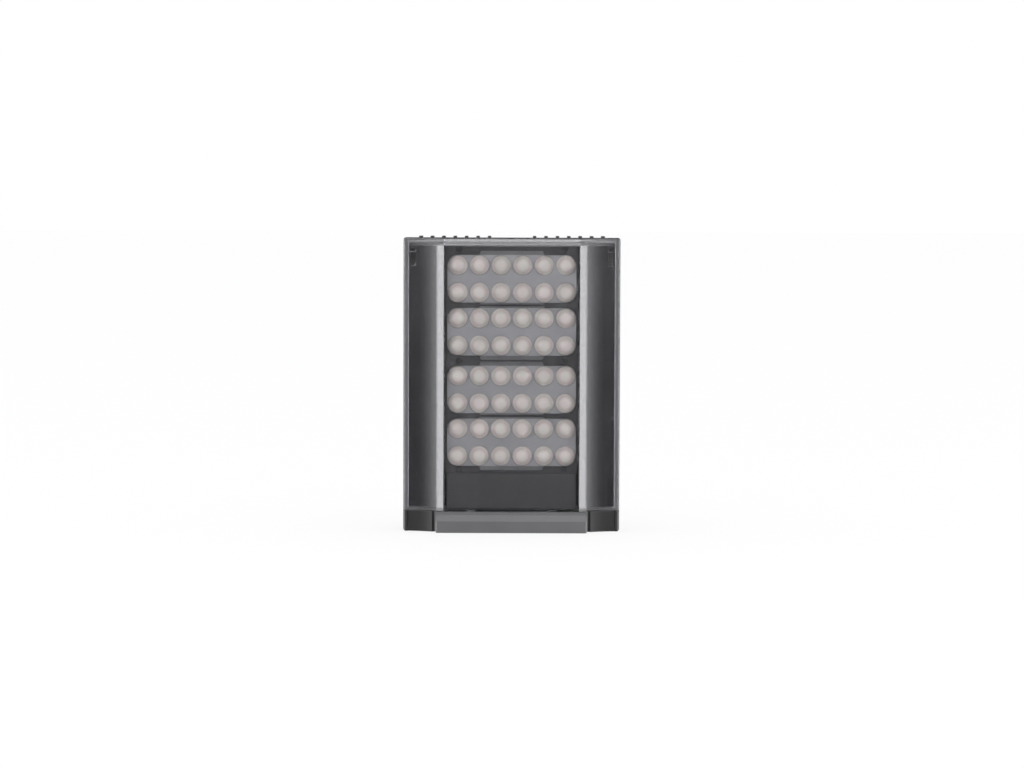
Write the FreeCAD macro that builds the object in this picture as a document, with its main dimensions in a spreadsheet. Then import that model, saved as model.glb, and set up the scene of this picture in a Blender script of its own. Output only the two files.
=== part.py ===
"""Long-range infrared illuminator with a clear front cover, four lens modules, a finned
die-cast housing and a tilting wall bracket.

X runs to the right as seen from the front, Y runs back from the front face and Z runs up.
The origin is the middle of the overall box, on the surface that the lamp stands on.
Depths are measured backwards from the foremost plane, which is the face of the chin.
"""

import FreeCAD, Part
import math
import os
import Sketcher


# Driving dimensions in millimetres, each with the word that the spreadsheet knows it by
SIZES = [
    # Outside of the lamp
    ("lamp_wide", 216, "width over the rim"),
    ("body_high", 293, "height of the cover and of the housing"),
    ("shell_gap", 0.3, "gap between shells that lie side by side"),
    ("corner_round", 2.5, "rounding of the outer corners, seen from the front"),
    ("cut_past", 1, "how far a cutting shape runs past the face that it opens"),
    # Front cover, a clear moulded shell
    ("cover_wall", 2.6, "wall of the clear cover"),
    ("window_deep", 3, "flat window behind the chin's face"),
    ("window_edge", 1.3, "flat window beyond the mask's sides"),
    ("bevel_run", 7.5, "width of the bevel beside the window"),
    ("bevel_fall", 7, "depth of the bevel beside the window"),
    ("wing_fall", 10.5, "depth that a wing falls from the bevel to its end"),
    ("wing_sag", 2, "how deep the wing is scooped below a straight line"),
    ("rim_wide", 5, "width of the rim outside the wing"),
    ("lip_run", 0.8, "width of the step at the rim"),
    ("lip_rise", 1.2, "height of the step at the rim"),
    ("rim_side", 2, "straight side of the rim before the seam"),
    ("rim_bulge", 0.8, "how far the rim's edge is rounded out"),
    ("seam_deep", 24, "seam between the cover and the housing"),
    ("cover_drop", 0.7, "the cover's top edge below the housing's"),
    ("top_bevel_high", 6.5, "height of the bevel at the top edge"),
    ("top_bevel_pull", 0.34, "share by which that bevel draws the section back to the rim"),
    ("clip_inset", 7.6, "inner edge of the clip windows inside the wing's end"),
    ("clip_wide", 5.4, "width of a clip window"),
    ("clip_high", 17, "height of a clip window"),
    ("clip_drop", 11.4, "clip windows below the cover's top"),
    ("clip_thick", 2.4, "thickness of a clip's finger"),
    ("clip_hook", 1.2, "how far a finger's hook reaches behind the bezel"),
    ("clip_hook_long", 2.4, "length of that hook"),
    ("clip_gap", 0.3, "gap between a clip and its window"),
    ("key_side", 40, "keys on the chin beside the middle line"),
    ("key_wide", 8, "width of a key"),
    ("key_deep", 14, "depth where a key starts"),
    ("key_thick", 3, "thickness of a key"),
    ("key_grip", 1.3, "height of a key in the cover's lower wall"),
    # Chin, the trim along the bottom
    ("chin_high", 20.5, "height of the chin"),
    ("chin_edge", 0.8, "small bevel on the block's upright edges"),
    ("chin_bevel_low", 11.5, "height where the chin's upper bevel starts"),
    ("chin_bevel_high", 6, "height of the chin's upper bevel"),
    ("groove_run", 2, "width of the groove beside the block"),
    ("groove_slope", 2, "width of the slope from the groove to the chin's wing"),
    ("groove_deep", 13.5, "bottom of the groove beside the block"),
    ("chin_wing_deep", 12.3, "depth where the chin's wing starts"),
    ("chin_wing_sag", 1.4, "how deep the chin's wing is scooped"),
    ("chin_screw_inner", 62.4, "inner chin screws beside the middle line"),
    ("chin_screw_high", 10, "height of the chin screws"),
    # Inner bezel, the black liner behind the wings
    ("bezel_wall", 1.6, "wall of the bezel"),
    ("bezel_top", 3, "thickness of the bezel's top wall"),
    ("well_gap", 0.4, "gap between the mask and the bezel's inner walls"),
    ("post_radius", 3.5, "screw posts of the bezel and of the chin"),
    ("screw_inset", 6.2, "bezel screws inside the wing's end"),
    ("bezel_screw_low", 36, "height of the lowest bezel screws"),
    ("bezel_screw_step", 72, "height from one pair of bezel screws to the next"),
    # Mask and lower panel behind the window
    ("mask_edge", 2.2, "mask beyond the modules' sides"),
    ("mask_edge_high", 5.8, "mask above the uppermost tab"),
    ("mask_edge_low", 2.5, "mask below the lowest tab"),
    ("mask_deep", 11, "face of the mask"),
    ("mask_thick", 2, "thickness of the mask"),
    ("panel_inset", 1.6, "lower panel inside the mask's sides"),
    ("panel_deep", 10.5, "face of the lower panel"),
    ("panel_thick", 2, "thickness of the lower panel"),
    ("panel_peg_side", 6.6, "panel pegs inside the panel's sides"),
    ("panel_peg_edge", 4.2, "panel pegs inside the panel's upper and lower edges"),
    ("panel_peg_radius", 2.5, "panel pegs"),
    # Lens modules, each one moulding with twelve lenses
    ("inner_gap", 2, "gap between the small tabs of a pair"),
    ("pair_gap", 1.8, "gap between the big tabs at the middle"),
    ("module_edge", 0.5, "plate beyond the outermost lenses at its sides"),
    ("module_edge_high", 0.1, "plate above and below the lenses"),
    ("tab_half", 32.3, "half width of a tab"),
    ("tab_slope", 1.6, "slant of a tab's ends"),
    ("big_tab", 4.2, "height of the outward tab"),
    ("small_tab", 1.7, "height of the inward tab"),
    ("module_deep", 12, "face of the module's plate"),
    ("module_thick", 2.5, "thickness of the module's plate"),
    ("module_gap", 0.3, "gap between a module and its opening in the mask"),
    ("lens_pitch", 21.4, "distance between lenses in a row"),
    ("lens_row_pitch", 27, "distance between the two rows of a module"),
    ("lens_gap", 1.4, "gap between lenses in a row"),
    ("lens_rise", 5.5, "height of a lens above its plate"),
    ("leg_radius", 2.5, "legs that hold a module off its board"),
    # Light boards
    ("board_inset", 2, "light board inside its module's sides"),
    ("board_inset_high", 0.6, "light board inside its module's upper and lower edges"),
    ("board_thick", 1.6, "thickness of a light board"),
    ("pad_thick", 0.4, "thermal pad under a board"),
    ("emitter_wide", 3.5, "side of an emitter"),
    ("emitter_high", 1.9, "height of an emitter"),
    # Housing
    ("tray_deep", 6, "depth of the housing's tray behind the seam"),
    ("tray_wall", 5, "wall round the tray"),
    ("floor_thick", 5, "floor of the housing"),
    ("land_low", 2.9, "part of the cross wall that lies below the chin's top"),
    ("land_high", 3.9, "part of the cross wall that lies above the chin's top"),
    ("foot_wall", 3, "bottom wall of the housing"),
    ("seal_edge", 0.5, "gasket inside the sealed outline"),
    ("seal_wide", 1.6, "width of the gasket"),
    ("seal_deep", 1.2, "depth of the gasket's groove"),
    ("fin_first", 22.5, "first fin beside the middle line"),
    ("fin_side", 17.1, "last fin inside the lamp's side"),
    ("fin_root", 3.4, "thickness of a fin at its root"),
    ("fin_tip", 2.2, "thickness of a fin at its tip"),
    ("fin_start", 27, "depth where the fins start at the top edge"),
    ("fin_rise", 1.5, "height of the fins above the top edge"),
    ("fin_reach", 40, "how far the fins stand out behind the floor"),
    ("fin_arc_fall", 9, "how much shorter the fins are at the sides"),
    ("fin_end_round", 16, "rounding of the fins' upper and lower ends"),
    ("skirt_reach", 20, "how far the side walls stand out behind the floor"),
    ("skirt_root", 4.6, "thickness of a side wall at its root"),
    ("skirt_tip", 2.6, "thickness of a side wall at its edge"),
    ("skirt_lean", 1.5, "how far a side wall leans in"),
    # Small posts inside the housing
    ("stand_radius", 3, "posts under the mask and the driver board"),
    ("mask_screw_side", 52.5, "mask screws beside the middle line"),
    ("mask_screw_top", 4.8, "upper mask screws below the mask's top edge"),
    ("mask_screw_low", 3.3, "lower mask screws above the mask's lower edge"),
    # Driver board and what it carries
    ("driver_wide", 106, "width of the driver board"),
    ("driver_high", 26, "height of the driver board"),
    ("driver_middle", 41, "height of the driver board's middle"),
    ("driver_lift", 4, "posts under the driver board"),
    ("driver_thick", 1.6, "thickness of the driver board"),
    ("driver_screw_edge", 4, "driver screws inside the board's edges"),
    ("cap_radius", 5, "electrolytic capacitors"),
    ("cap_long", 16, "length of a capacitor"),
    ("cap_edge", 9, "far end of the capacitors inside the board's left edge"),
    ("cap_pitch", 11, "distance between the two capacitors"),
    ("cap_neck", 0.5, "depth of the crimp in a capacitor's can"),
    ("choke_side", 8, "inductor beside the middle line"),
    ("choke_wide", 14, "base of the inductor"),
    ("choke_base", 2, "height of the inductor's base"),
    ("choke_radius", 6, "coil of the inductor"),
    ("choke_high", 8, "height of the inductor"),
    ("block_edge", 19, "terminal block inside the board's right edge"),
    ("block_pitch", 5, "distance between terminals"),
    ("block_deep", 8, "length of the terminal block across the board"),
    ("block_high", 9, "height of the terminal block"),
    ("block_port", 3.2, "side of a terminal's wire port"),
    # Screws
    ("screw_radius", 2, "thread of the bezel and chin screws"),
    ("screw_head", 3.5, "head of the bezel and chin screws"),
    ("screw_head_high", 2.6, "height of those heads"),
    ("screw_grip", 5.8, "length of their thread in the posts"),
    ("screw_room", 0.7, "empty end of their holes"),
    ("thread_gap", 0.05, "gap between a thread and its hole"),
    ("small_radius", 1.5, "thread of the mask and board screws"),
    ("small_head", 2.8, "head of the mask and board screws"),
    ("small_head_high", 1.8, "height of those heads"),
    ("small_grip", 3.2, "length of their thread in the housing"),
    ("screw_clear", 0.2, "gap round a screw in a plain hole"),
    ("socket_flat", 2, "half the width of a foot screw's socket"),
    ("socket_deep", 2.5, "depth of that socket"),
    # Breather and cable gland
    ("vent_high", 240, "height of the breather"),
    ("vent_post", 9, "post that carries the breather"),
    ("vent_thread", 6, "thread of the breather"),
    ("vent_cap", 8, "cap of the breather"),
    ("vent_cap_high", 4.5, "height of the breather's cap"),
    ("vent_bore", 2, "hole through the breather"),
    ("post_rise", 3, "height of the posts behind the floor"),
    ("gland_high", 46, "height of the cable gland"),
    ("gland_post", 13, "post that carries the gland"),
    ("gland_post_rise", 6, "height of that post"),
    ("gland_thread", 8, "thread of the gland"),
    ("gland_thread_long", 7.5, "length of that thread"),
    ("gland_hex", 11, "half the distance across the gland's flats"),
    ("gland_hex_high", 5, "height of the gland's flats"),
    ("gland_stem", 7.5, "stem behind the flats"),
    ("gland_stem_high", 7, "length of the stem"),
    ("gland_nut_radius", 10.5, "dome nut of the gland"),
    ("gland_nut_high", 15, "height of the dome nut"),
    ("gland_mouth", 4.6, "mouth of the dome nut"),
    ("gland_cable", 3.5, "hole for the cable in the gland's seal"),
    ("gland_seal", 5.6, "outside of the gland's seal"),
    ("gland_seal_long", 9, "length of the gland's seal"),
    # Bracket and hinge
    ("hinge_high", 147, "height of the tilt hinge"),
    ("hinge_clear", 14, "hinge behind the tips of the fins"),
    ("arm_reach", 46, "wall face behind the hinge"),
    ("foot_half", 19.5, "half width of the bracket's foot"),
    ("foot_high", 72, "height of the foot"),
    ("foot_thick", 6, "thickness of the foot"),
    ("foot_round", 4, "corners of the foot"),
    ("foot_screw_side", 12.5, "foot screws beside the middle line"),
    ("foot_screw_pitch", 54, "height between the foot screws"),
    ("foot_post", 5.5, "posts under the foot"),
    ("foot_thread", 2.5, "thread of the foot screws"),
    ("foot_head", 4.25, "head of the foot screws"),
    ("foot_head_high", 5, "height of those heads"),
    ("foot_grip", 6.4, "length of their thread in the housing"),
    ("ear_thick", 5.5, "thickness of an ear"),
    ("ear_base", 20, "half height of an ear at the foot"),
    ("knuckle", 12, "radius of the rounded ends round the hinge"),
    ("tongue_wide", 18, "width of the arm's tongue"),
    ("tongue_gap", 0.3, "gap between the tongue and each ear"),
    ("bolt_radius", 4, "tilt bolt"),
    ("bolt_gap", 0.06, "gap round the tilt bolt"),
    ("bolt_hex", 6.5, "half the distance across the bolt's flats"),
    ("bolt_head_high", 5.3, "height of the bolt's head"),
    ("bolt_past", 3, "end of the bolt past its nut"),
    ("nut_high", 6.5, "height of the nut"),
    ("washer_radius", 8, "washers under the head and the nut"),
    ("washer_thick", 1.6, "thickness of a washer"),
    ("plate_wide", 60, "width of the wall plate"),
    ("plate_high", 90, "height of the wall plate"),
    ("plate_thick", 6.5, "thickness of the wall plate"),
    ("plate_round", 6, "corners of the wall plate"),
    ("plate_hole", 3.25, "holes in the wall plate"),
    ("plate_hole_wide", 42, "distance between those holes across"),
    ("plate_hole_high", 70, "distance between those holes upwards"),
    ("neck_half", 20, "half height of the arm at the wall plate"),
    ("web_start", 14, "where the arm's side webs start behind the hinge"),
    ("web_half", 20, "half width of the arm's webs at the wall plate"),
    ("web_thick", 8, "thickness of the arm's webs"),
]

# Counts of what repeats
FINS_A_SIDE = 7
BEZEL_SCREW_ROWS = 4
LENSES_A_ROW = 6
TERMINALS = 3
QUARTER_SAG = 1 - math.sqrt(0.5)


class Size:
    """A number together with the sheet formula that it comes from."""

    def __init__(self, value, text):
        self.value = value
        self.text = text

    def __add__(self, other):
        other = as_size(other)
        return Size(self.value + other.value, f"({self.text} + {other.text})")

    def __sub__(self, other):
        other = as_size(other)
        return Size(self.value - other.value, f"({self.text} - {other.text})")

    def __mul__(self, other):
        other = as_size(other)
        return Size(self.value * other.value, f"{self.text} * {other.text}")

    def __truediv__(self, other):
        other = as_size(other)
        return Size(self.value / other.value, f"({self.text} / ({other.text}))")

    def __neg__(self):
        return Size(-self.value, f"(0 - {self.text})")

    def __rsub__(self, other):
        return as_size(other) - self

    __radd__ = __add__
    __rmul__ = __mul__


def as_size(item):
    """A plain number as a size."""
    if isinstance(item, Size):
        return item
    return Size(float(item), repr(float(item)))


def root(size):
    """Square root of a size."""
    return Size(math.sqrt(size.value), f"sqrt({size.text})")


class Sheet:
    """The spreadsheet of driving dimensions, read as attributes."""

    def __init__(self, document):
        cells = document.addObject("Spreadsheet::Sheet", "Sizes")
        for row, (word, value, note) in enumerate(SIZES, start=1):
            cells.set(f"A{row}", str(value))
            cells.setAlias(f"A{row}", word)
            cells.set(f"B{row}", note)
            setattr(self, word, Size(float(value), f"Sizes.{word}"))


doc = FreeCAD.newDocument("infrared_illuminator")
s = Sheet(doc)
doc.recompute()


# Places that follow from the driving dimensions
half_wide = s.lamp_wide / 2
lens_radius = (s.lens_pitch - s.lens_gap) / 2
module_round = lens_radius + s.module_edge
module_wide = s.lens_pitch * (LENSES_A_ROW - 1) + module_round * 2
module_high = s.lens_row_pitch + (lens_radius + s.module_edge_high) * 2
inner_pitch = module_high + s.small_tab * 2 + s.inner_gap
pair_pitch = module_high + s.big_tab * 2 + s.pair_gap
mask_half = module_wide / 2 + s.mask_edge
window_half = mask_half + s.window_edge
wing_start = window_half + s.bevel_run
chin_wing_start = wing_start + s.groove_run + s.groove_slope
wing_end = half_wide - s.rim_wide
screw_side = wing_end - s.screw_inset
fin_pitch = (half_wide - s.fin_side - s.fin_first) / (FINS_A_SIDE - 1)
bevel_deep = s.window_deep + s.bevel_fall
wing_deep = bevel_deep + s.wing_fall
lip_deep = wing_deep - s.lip_rise
rim_deep = s.seam_deep - s.rim_side
cover_low = s.chin_high + s.shell_gap
cover_high = s.body_high - s.cover_drop
tray_low = s.chin_high + s.land_high
floor_deep = s.seam_deep + s.tray_deep
back_deep = floor_deep + s.floor_thick
tip_deep = back_deep + s.fin_reach
hinge_deep = tip_deep + s.hinge_clear
wall_deep = hinge_deep + s.arm_reach
front_y = -(wall_deep / 2)
board_deep = floor_deep - s.pad_thick - s.board_thick
mask_back = s.mask_deep + s.mask_thick
panel_back = s.panel_deep + s.panel_thick
module_back = s.module_deep + s.module_thick
driver_back = floor_deep - s.driver_lift
driver_deep = driver_back - s.driver_thick
bezel_inset = s.cover_wall + s.shell_gap
bezel_high = s.body_high - s.tray_wall - s.shell_gap
clip_top = s.body_high - s.clip_drop
clip_low = clip_top - s.clip_high
key_half = s.key_wide / 2
well_half = mask_half + s.well_gap
well_high = bezel_high - s.bezel_wall
mask_high = well_high - s.shell_gap
module_reach = module_high / 2 + s.big_tab
array_reach = pair_pitch / 2 + inner_pitch + module_reach
array_middle = mask_high - s.mask_edge_high - array_reach
mask_low = array_middle - array_reach - s.mask_edge_low
panel_half = mask_half - s.panel_inset
board_wide = module_wide - s.board_inset * 2
board_high = module_high - s.board_inset_high * 2
board_screw_side = s.lens_pitch * 2
cap_left = s.driver_wide / 2 - s.cap_edge
block_side = s.driver_wide / 2 - s.block_edge
first_lens = -(s.lens_pitch * (LENSES_A_ROW - 1) / 2)
seat_deep = s.post_rise + back_deep
foot_back = seat_deep + s.foot_thick
gland_seat = back_deep + s.gland_post_rise
gland_shoulder = gland_seat + s.gland_hex_high
gland_end = gland_shoulder + s.gland_stem_high
ear_half = s.tongue_wide / 2 + s.tongue_gap
ear_outer = ear_half + s.ear_thick
washer_outer = ear_outer + s.washer_thick


# Tools that turn sizes into sketches and features

def new_body(label):
    """A sub-part whose depth is measured back from the foremost plane."""
    body = doc.addObject("PartDesign::Body", label)
    body.Label = label
    body.setExpression("Placement.Base.y", front_y.text)
    return body


def origin_item(body, role):
    """A plane or an axis of the sub-part's own origin."""
    return [item for item in body.Origin.OriginFeatures if item.Role == role][0]


def sketch_on(body, role, shift):
    """An empty sketch on an origin plane, moved along the plane's own axes by three sizes."""
    sketch = body.newObject("Sketcher::SketchObject", "Sketch")
    sketch.AttachmentSupport = (origin_item(body, role), [""])
    sketch.MapMode = "FlatFace"
    for axis, size in zip("xyz", shift):
        sketch.setExpression(f"AttachmentOffset.Base.{axis}", as_size(size).text)
    return sketch


def front_sketch(body, deep, across=0, up=0):
    """A sketch seen from the front: its axes are X and Z."""
    return sketch_on(body, "XZ_Plane", (across, up, -as_size(deep)))


def plan_sketch(body, high, across=0, deep=0):
    """A sketch seen from above: its axes are X and depth."""
    return sketch_on(body, "XY_Plane", (across, deep, high))


def side_sketch(body, across, deep=0, up=0):
    """A sketch seen from the side: its axes are depth and Z."""
    return sketch_on(body, "YZ_Plane", (deep, up, across))


def fix(sketch, kind, where, size):
    """Hold one measure of a sketch to a size."""
    number = sketch.addConstraint(Sketcher.Constraint(kind, *where, as_size(size).value))
    sketch.setExpression(f"Constraints[{number}]", as_size(size).text)


def arc_radius(start, end, sag):
    """Radius of the arc between two points that rises by the sag above their chord."""
    across = end[0] - start[0]
    up = end[1] - start[1]
    return ((across * across + up * up) / 4 + sag * sag) / (2 * sag)


def arc_between(start, end, sag):
    """The arc that passes the middle of the chord at the sag, to the left when positive."""
    across = end[0].value - start[0].value
    up = end[1].value - start[1].value
    long = math.hypot(across, up)
    middle = FreeCAD.Vector(
        (start[0].value + end[0].value) / 2 - up / long * sag.value,
        (start[1].value + end[1].value) / 2 + across / long * sag.value,
    )
    first = FreeCAD.Vector(start[0].value, start[1].value)
    last = FreeCAD.Vector(end[0].value, end[1].value)
    return Part.Arc(first, middle, last)


def outline(sketch, corners):
    """Add a closed outline whose corners are (u, v) or (u, v, sag of the arc that ends there)."""
    points = [(as_size(corner[0]), as_size(corner[1])) for corner in corners]
    sags = [as_size(corner[2]) if len(corner) > 2 else None for corner in corners]
    pieces = []
    for place, end in enumerate(points):
        start = points[place - 1]
        if sags[place] is None:
            line = Part.LineSegment(
                FreeCAD.Vector(start[0].value, start[1].value),
                FreeCAD.Vector(end[0].value, end[1].value),
            )
            pieces.append((sketch.addGeometry(line), 1, 2))
            continue
        piece = sketch.addGeometry(arc_between(start, end, sags[place]))
        near = sketch.getPoint(piece, 1).distanceToPoint(FreeCAD.Vector(start[0].value, start[1].value))
        far = sketch.getPoint(piece, 2).distanceToPoint(FreeCAD.Vector(start[0].value, start[1].value))
        pieces.append((piece, 1, 2) if near < far else (piece, 2, 1))
    for place, end in enumerate(points):
        piece, _, end_point = pieces[place]
        following, start_point, _ = pieces[(place + 1) % len(pieces)]
        sketch.addConstraint(
            Sketcher.Constraint("Coincident", piece, end_point, following, start_point)
        )
        fix(sketch, "DistanceX", (-1, 1, piece, end_point), end[0])
        fix(sketch, "DistanceY", (-1, 1, piece, end_point), end[1])
        if sags[place] is not None:
            sag = sags[place] if sags[place].value > 0 else -sags[place]
            fix(sketch, "Radius", (piece,), arc_radius(points[place - 1], end, sag))
    return sketch


def circle(sketch, across, up, radius):
    """Add a circle to a sketch."""
    centre = FreeCAD.Vector(as_size(across).value, as_size(up).value)
    ring = Part.Circle(centre, FreeCAD.Vector(0, 0, 1), as_size(radius).value)
    piece = sketch.addGeometry(ring)
    fix(sketch, "DistanceX", (-1, 1, piece, 3), across)
    fix(sketch, "DistanceY", (-1, 1, piece, 3), up)
    fix(sketch, "Radius", (piece,), radius)
    return sketch


def circles(sketch, places, radius):
    """Add a circle at each place."""
    for across, up in places:
        circle(sketch, across, up, radius)
    return sketch


def box_corners(left, right, low, high, rounding=None):
    """Corners of a rectangle, with quarter-round corners where a rounding is given."""
    if rounding is None:
        return [(left, low), (right, low), (right, high), (left, high)]
    left, right, low, high = [as_size(edge) for edge in (left, right, low, high)]
    sag = -(rounding * QUARTER_SAG)
    return [
        (left + rounding, low, sag),
        (right - rounding, low),
        (right, low + rounding, sag),
        (right, high - rounding),
        (right - rounding, high, sag),
        (left + rounding, high),
        (left, high - rounding, sag),
        (left, low + rounding),
    ]


def both_sides(half):
    """Close a half outline with its mirror image."""
    mirrored = []
    for place in range(len(half) - 1, -1, -1):
        across, deep = half[place][:2]
        following = half[place + 1] if place + 1 < len(half) else ()
        mirrored.append((-as_size(across), deep) + tuple(following[2:]))
    return list(half) + mirrored


def hex_corners(half_flat):
    """Corners of a hexagon with upright flats left and right."""
    tall = half_flat * 2 / root(as_size(3))
    return [
        (half_flat, -(tall / 2)),
        (half_flat, tall / 2),
        (0, tall),
        (-half_flat, tall / 2),
        (-half_flat, -(tall / 2)),
        (0, -tall),
    ]


def feature(body, kind, sketch, length, against_normal):
    """A pad or a pocket of the sub-part."""
    made = body.newObject(f"PartDesign::{kind}", kind)
    made.Profile = sketch
    made.setExpression("Length", as_size(length).text)
    made.Reversed = against_normal
    return made


def pad_back(body, sketch, length):
    """Grow a front sketch backwards."""
    return feature(body, "Pad", sketch, length, True)


def cut_back(body, sketch, length):
    """Cut a front sketch backwards."""
    return feature(body, "Pocket", sketch, length, False)


def pad_along(body, sketch, length):
    """Grow a plan sketch upwards, or a side sketch to the right."""
    return feature(body, "Pad", sketch, length, False)


def cut_along(body, sketch, length):
    """Cut a plan sketch upwards, or a side sketch to the right."""
    return feature(body, "Pocket", sketch, length, True)


def loft(body, kind, first, second):
    """A straight-sided loft between two sketches with the same corners."""
    made = body.newObject(f"PartDesign::{kind}Loft", "Loft")
    made.Profile = first
    made.Sections = [second]
    made.Ruled = True
    return made


def turn(body, kind, sketch, axis="V_Axis"):
    """Turn a sketch round one of its own axes."""
    made = body.newObject(f"PartDesign::{kind}", kind)
    made.Profile = sketch
    made.ReferenceAxis = (sketch, [axis])
    made.Angle = 360
    return made


def row_of(body, original, step, count):
    """Repeat a feature along X."""
    made = body.newObject("PartDesign::LinearPattern", "Row")
    made.Originals = [original]
    made.Direction = (origin_item(body, "X_Axis"), [""])
    made.Mode = "Spacing"
    made.setExpression("Offset", as_size(step).text)
    made.Occurrences = count
    body.Tip = made
    return made


def mirror(body, originals):
    """Mirror features to the other side of the middle plane."""
    made = body.newObject("PartDesign::Mirrored", "Mirror")
    made.Originals = originals
    made.MirrorPlane = (origin_item(body, "YZ_Plane"), [""])
    body.Tip = made
    return made


def post(body, places, radius, start, end):
    """Round posts at front-view places, from one depth back to another."""
    return pad_back(body, circles(front_sketch(body, start), places, radius), end - start)


def hole(body, places, radius, start, end):
    """Round holes at front-view places, from one depth back to another."""
    return cut_back(body, circles(front_sketch(body, start), places, radius), end - start)


def block(body, left, right, low, high, start, end, rounding=None):
    """A block given by its front view and its two depths."""
    corners = box_corners(left, right, low, high, rounding)
    return pad_back(body, outline(front_sketch(body, start), corners), end - start)


def opening(body, left, right, low, high, start, end, rounding=None):
    """A block cut away, given by its front view and its two depths."""
    corners = box_corners(left, right, low, high, rounding)
    return cut_back(body, outline(front_sketch(body, start), corners), end - start)


# Places that several sub-parts share

def bezel_screw_places():
    """Screws that hold the bezel, in rows up both sides."""
    rows = [s.bezel_screw_low + s.bezel_screw_step * row for row in range(BEZEL_SCREW_ROWS)]
    return [(side * screw_side, high) for high in rows for side in (-1, 1)]


def chin_screw_places():
    """Screws that hold the chin."""
    sides = (s.chin_screw_inner, screw_side)
    return [(sign * side, s.chin_screw_high) for side in sides for sign in (-1, 1)]


def mask_screw_places():
    """Screws that hold the mask: above, between and below the modules."""
    rows = (mask_high - s.mask_screw_top, array_middle, mask_low + s.mask_screw_low)
    return [(sign * s.mask_screw_side, high) for high in rows for sign in (-1, 1)]


def module_middles():
    """Heights of the four modules' middles, from the top down."""
    inner = pair_pitch / 2
    outer = inner + inner_pitch
    middle = array_middle
    return [middle + outer, middle + inner, middle - inner, middle - outer]


def board_screw_places(middle):
    """Screws of one light board."""
    return [(sign * board_screw_side, middle) for sign in (-1, 1)]


def driver_screw_places():
    """Screws of the driver board, near its corners."""
    side = s.driver_wide / 2 - s.driver_screw_edge
    rise = s.driver_high / 2 - s.driver_screw_edge
    return [(a * side, s.driver_middle + b * rise) for a in (-1, 1) for b in (-1, 1)]


def clip_sides(gap):
    """Left and right edge of each clip window, drawn in by a gap."""
    inner = wing_end - s.clip_inset + gap
    outer = wing_end - s.clip_inset + s.clip_wide - gap
    return ((-outer, -inner), (inner, outer))


def foot_screw_places():
    """Screws that hold the bracket's foot."""
    rise = s.foot_screw_pitch / 2
    return [(a * s.foot_screw_side, s.hinge_high + b * rise) for a in (-1, 1) for b in (-1, 1)]


def plate_hole_places():
    """Holes of the wall plate."""
    side = s.plate_hole_wide / 2
    rise = s.plate_hole_high / 2
    return [(a * side, s.hinge_high + b * rise) for a in (-1, 1) for b in (-1, 1)]


# Front cover, bezel and chin

def drawn_back(deep, pull):
    """A depth drawn back towards the rim, as the bevel at the top edge does it."""
    return deep + (rim_deep - deep) * pull


def shell_half(inset, pull=0, side_gap=0):
    """Half of the shell's section at an inset, from the window's edge to the wing's end."""
    slope = root(s.bevel_run * s.bevel_run + s.bevel_fall * s.bevel_fall)
    narrower = inset * ((slope - s.bevel_run) / s.bevel_fall)
    window = drawn_back(s.window_deep, pull) + inset
    bevel = drawn_back(bevel_deep, pull) + inset * (s.bevel_run / slope)
    return [
        (window_half - narrower, window),
        (wing_start - inset * (s.bevel_fall / slope), bevel),
        (wing_end - side_gap, drawn_back(wing_deep, pull) + inset, s.wing_sag),
    ]


def cover_section(pull=0):
    """Outer section of the cover, from above."""
    rim = drawn_back(rim_deep, pull)
    half = shell_half(as_size(0), pull) + [
        (wing_end + s.lip_run, drawn_back(lip_deep, pull)),
        (half_wide, rim, -s.rim_bulge),
        (half_wide, s.seam_deep),
    ]
    return both_sides(half)


def hollow_section(inset, back, side, pull=0):
    """Section of a hollow or of a liner inside the shell, from above."""
    half = shell_half(inset, pull, wing_end - side) + [(side, back)]
    return both_sides(half)


def round_corners(body, high, turned):
    """Round both outer corners at the top edge (turned 1) or at the bottom edge (-1)."""
    inner = half_wide - s.corner_round
    level = high - turned * s.corner_round
    past = half_wide + s.cut_past
    beyond = high + turned * s.cut_past
    sag = s.corner_round * QUARTER_SAG
    for side in (-1, 1):
        corner = [
            (side * inner, high),
            (side * half_wide, level, side * turned * sag),
            (side * past, level),
            (side * past, beyond),
            (side * inner, beyond),
        ]
        cut_back(body, outline(front_sketch(body, 0), corner), s.seam_deep + s.cut_past)


def make_front_cover():
    """Clear moulded shell: window, bevels, scooped wings, rim, clips and key pockets."""
    body = new_body("front_cover")
    bevel_low = cover_high - s.top_bevel_high
    lower = outline(plan_sketch(body, cover_low), cover_section())
    pad_along(body, lower, bevel_low - cover_low)
    start = outline(plan_sketch(body, bevel_low), cover_section())
    end = outline(plan_sketch(body, cover_high), cover_section(s.top_bevel_pull))
    loft(body, "Additive", start, end)
    past = s.seam_deep + s.cut_past
    inside_low = cover_low + s.cover_wall
    inside_bevel = bevel_low - s.cut_past
    hollow = hollow_section(s.cover_wall, past, wing_end)
    cut_along(body, outline(plan_sketch(body, inside_low), hollow), inside_bevel - inside_low)
    start = outline(plan_sketch(body, inside_bevel), hollow)
    pulled = hollow_section(s.cover_wall, past, wing_end, s.top_bevel_pull)
    end = outline(plan_sketch(body, cover_high - s.cover_wall), pulled)
    loft(body, "Subtractive", start, end)
    round_corners(body, cover_high, 1)
    add_clips(body)
    reach = key_half + s.clip_gap
    start = s.key_deep - s.clip_gap
    end = s.key_deep + s.key_thick + s.clip_gap
    low = cover_low - s.cut_past
    high = cover_low + s.key_grip + s.clip_gap
    for middle in (-s.key_side, s.key_side):
        opening(body, middle - reach, middle + reach, low, high, start, end)
    return body


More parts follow.
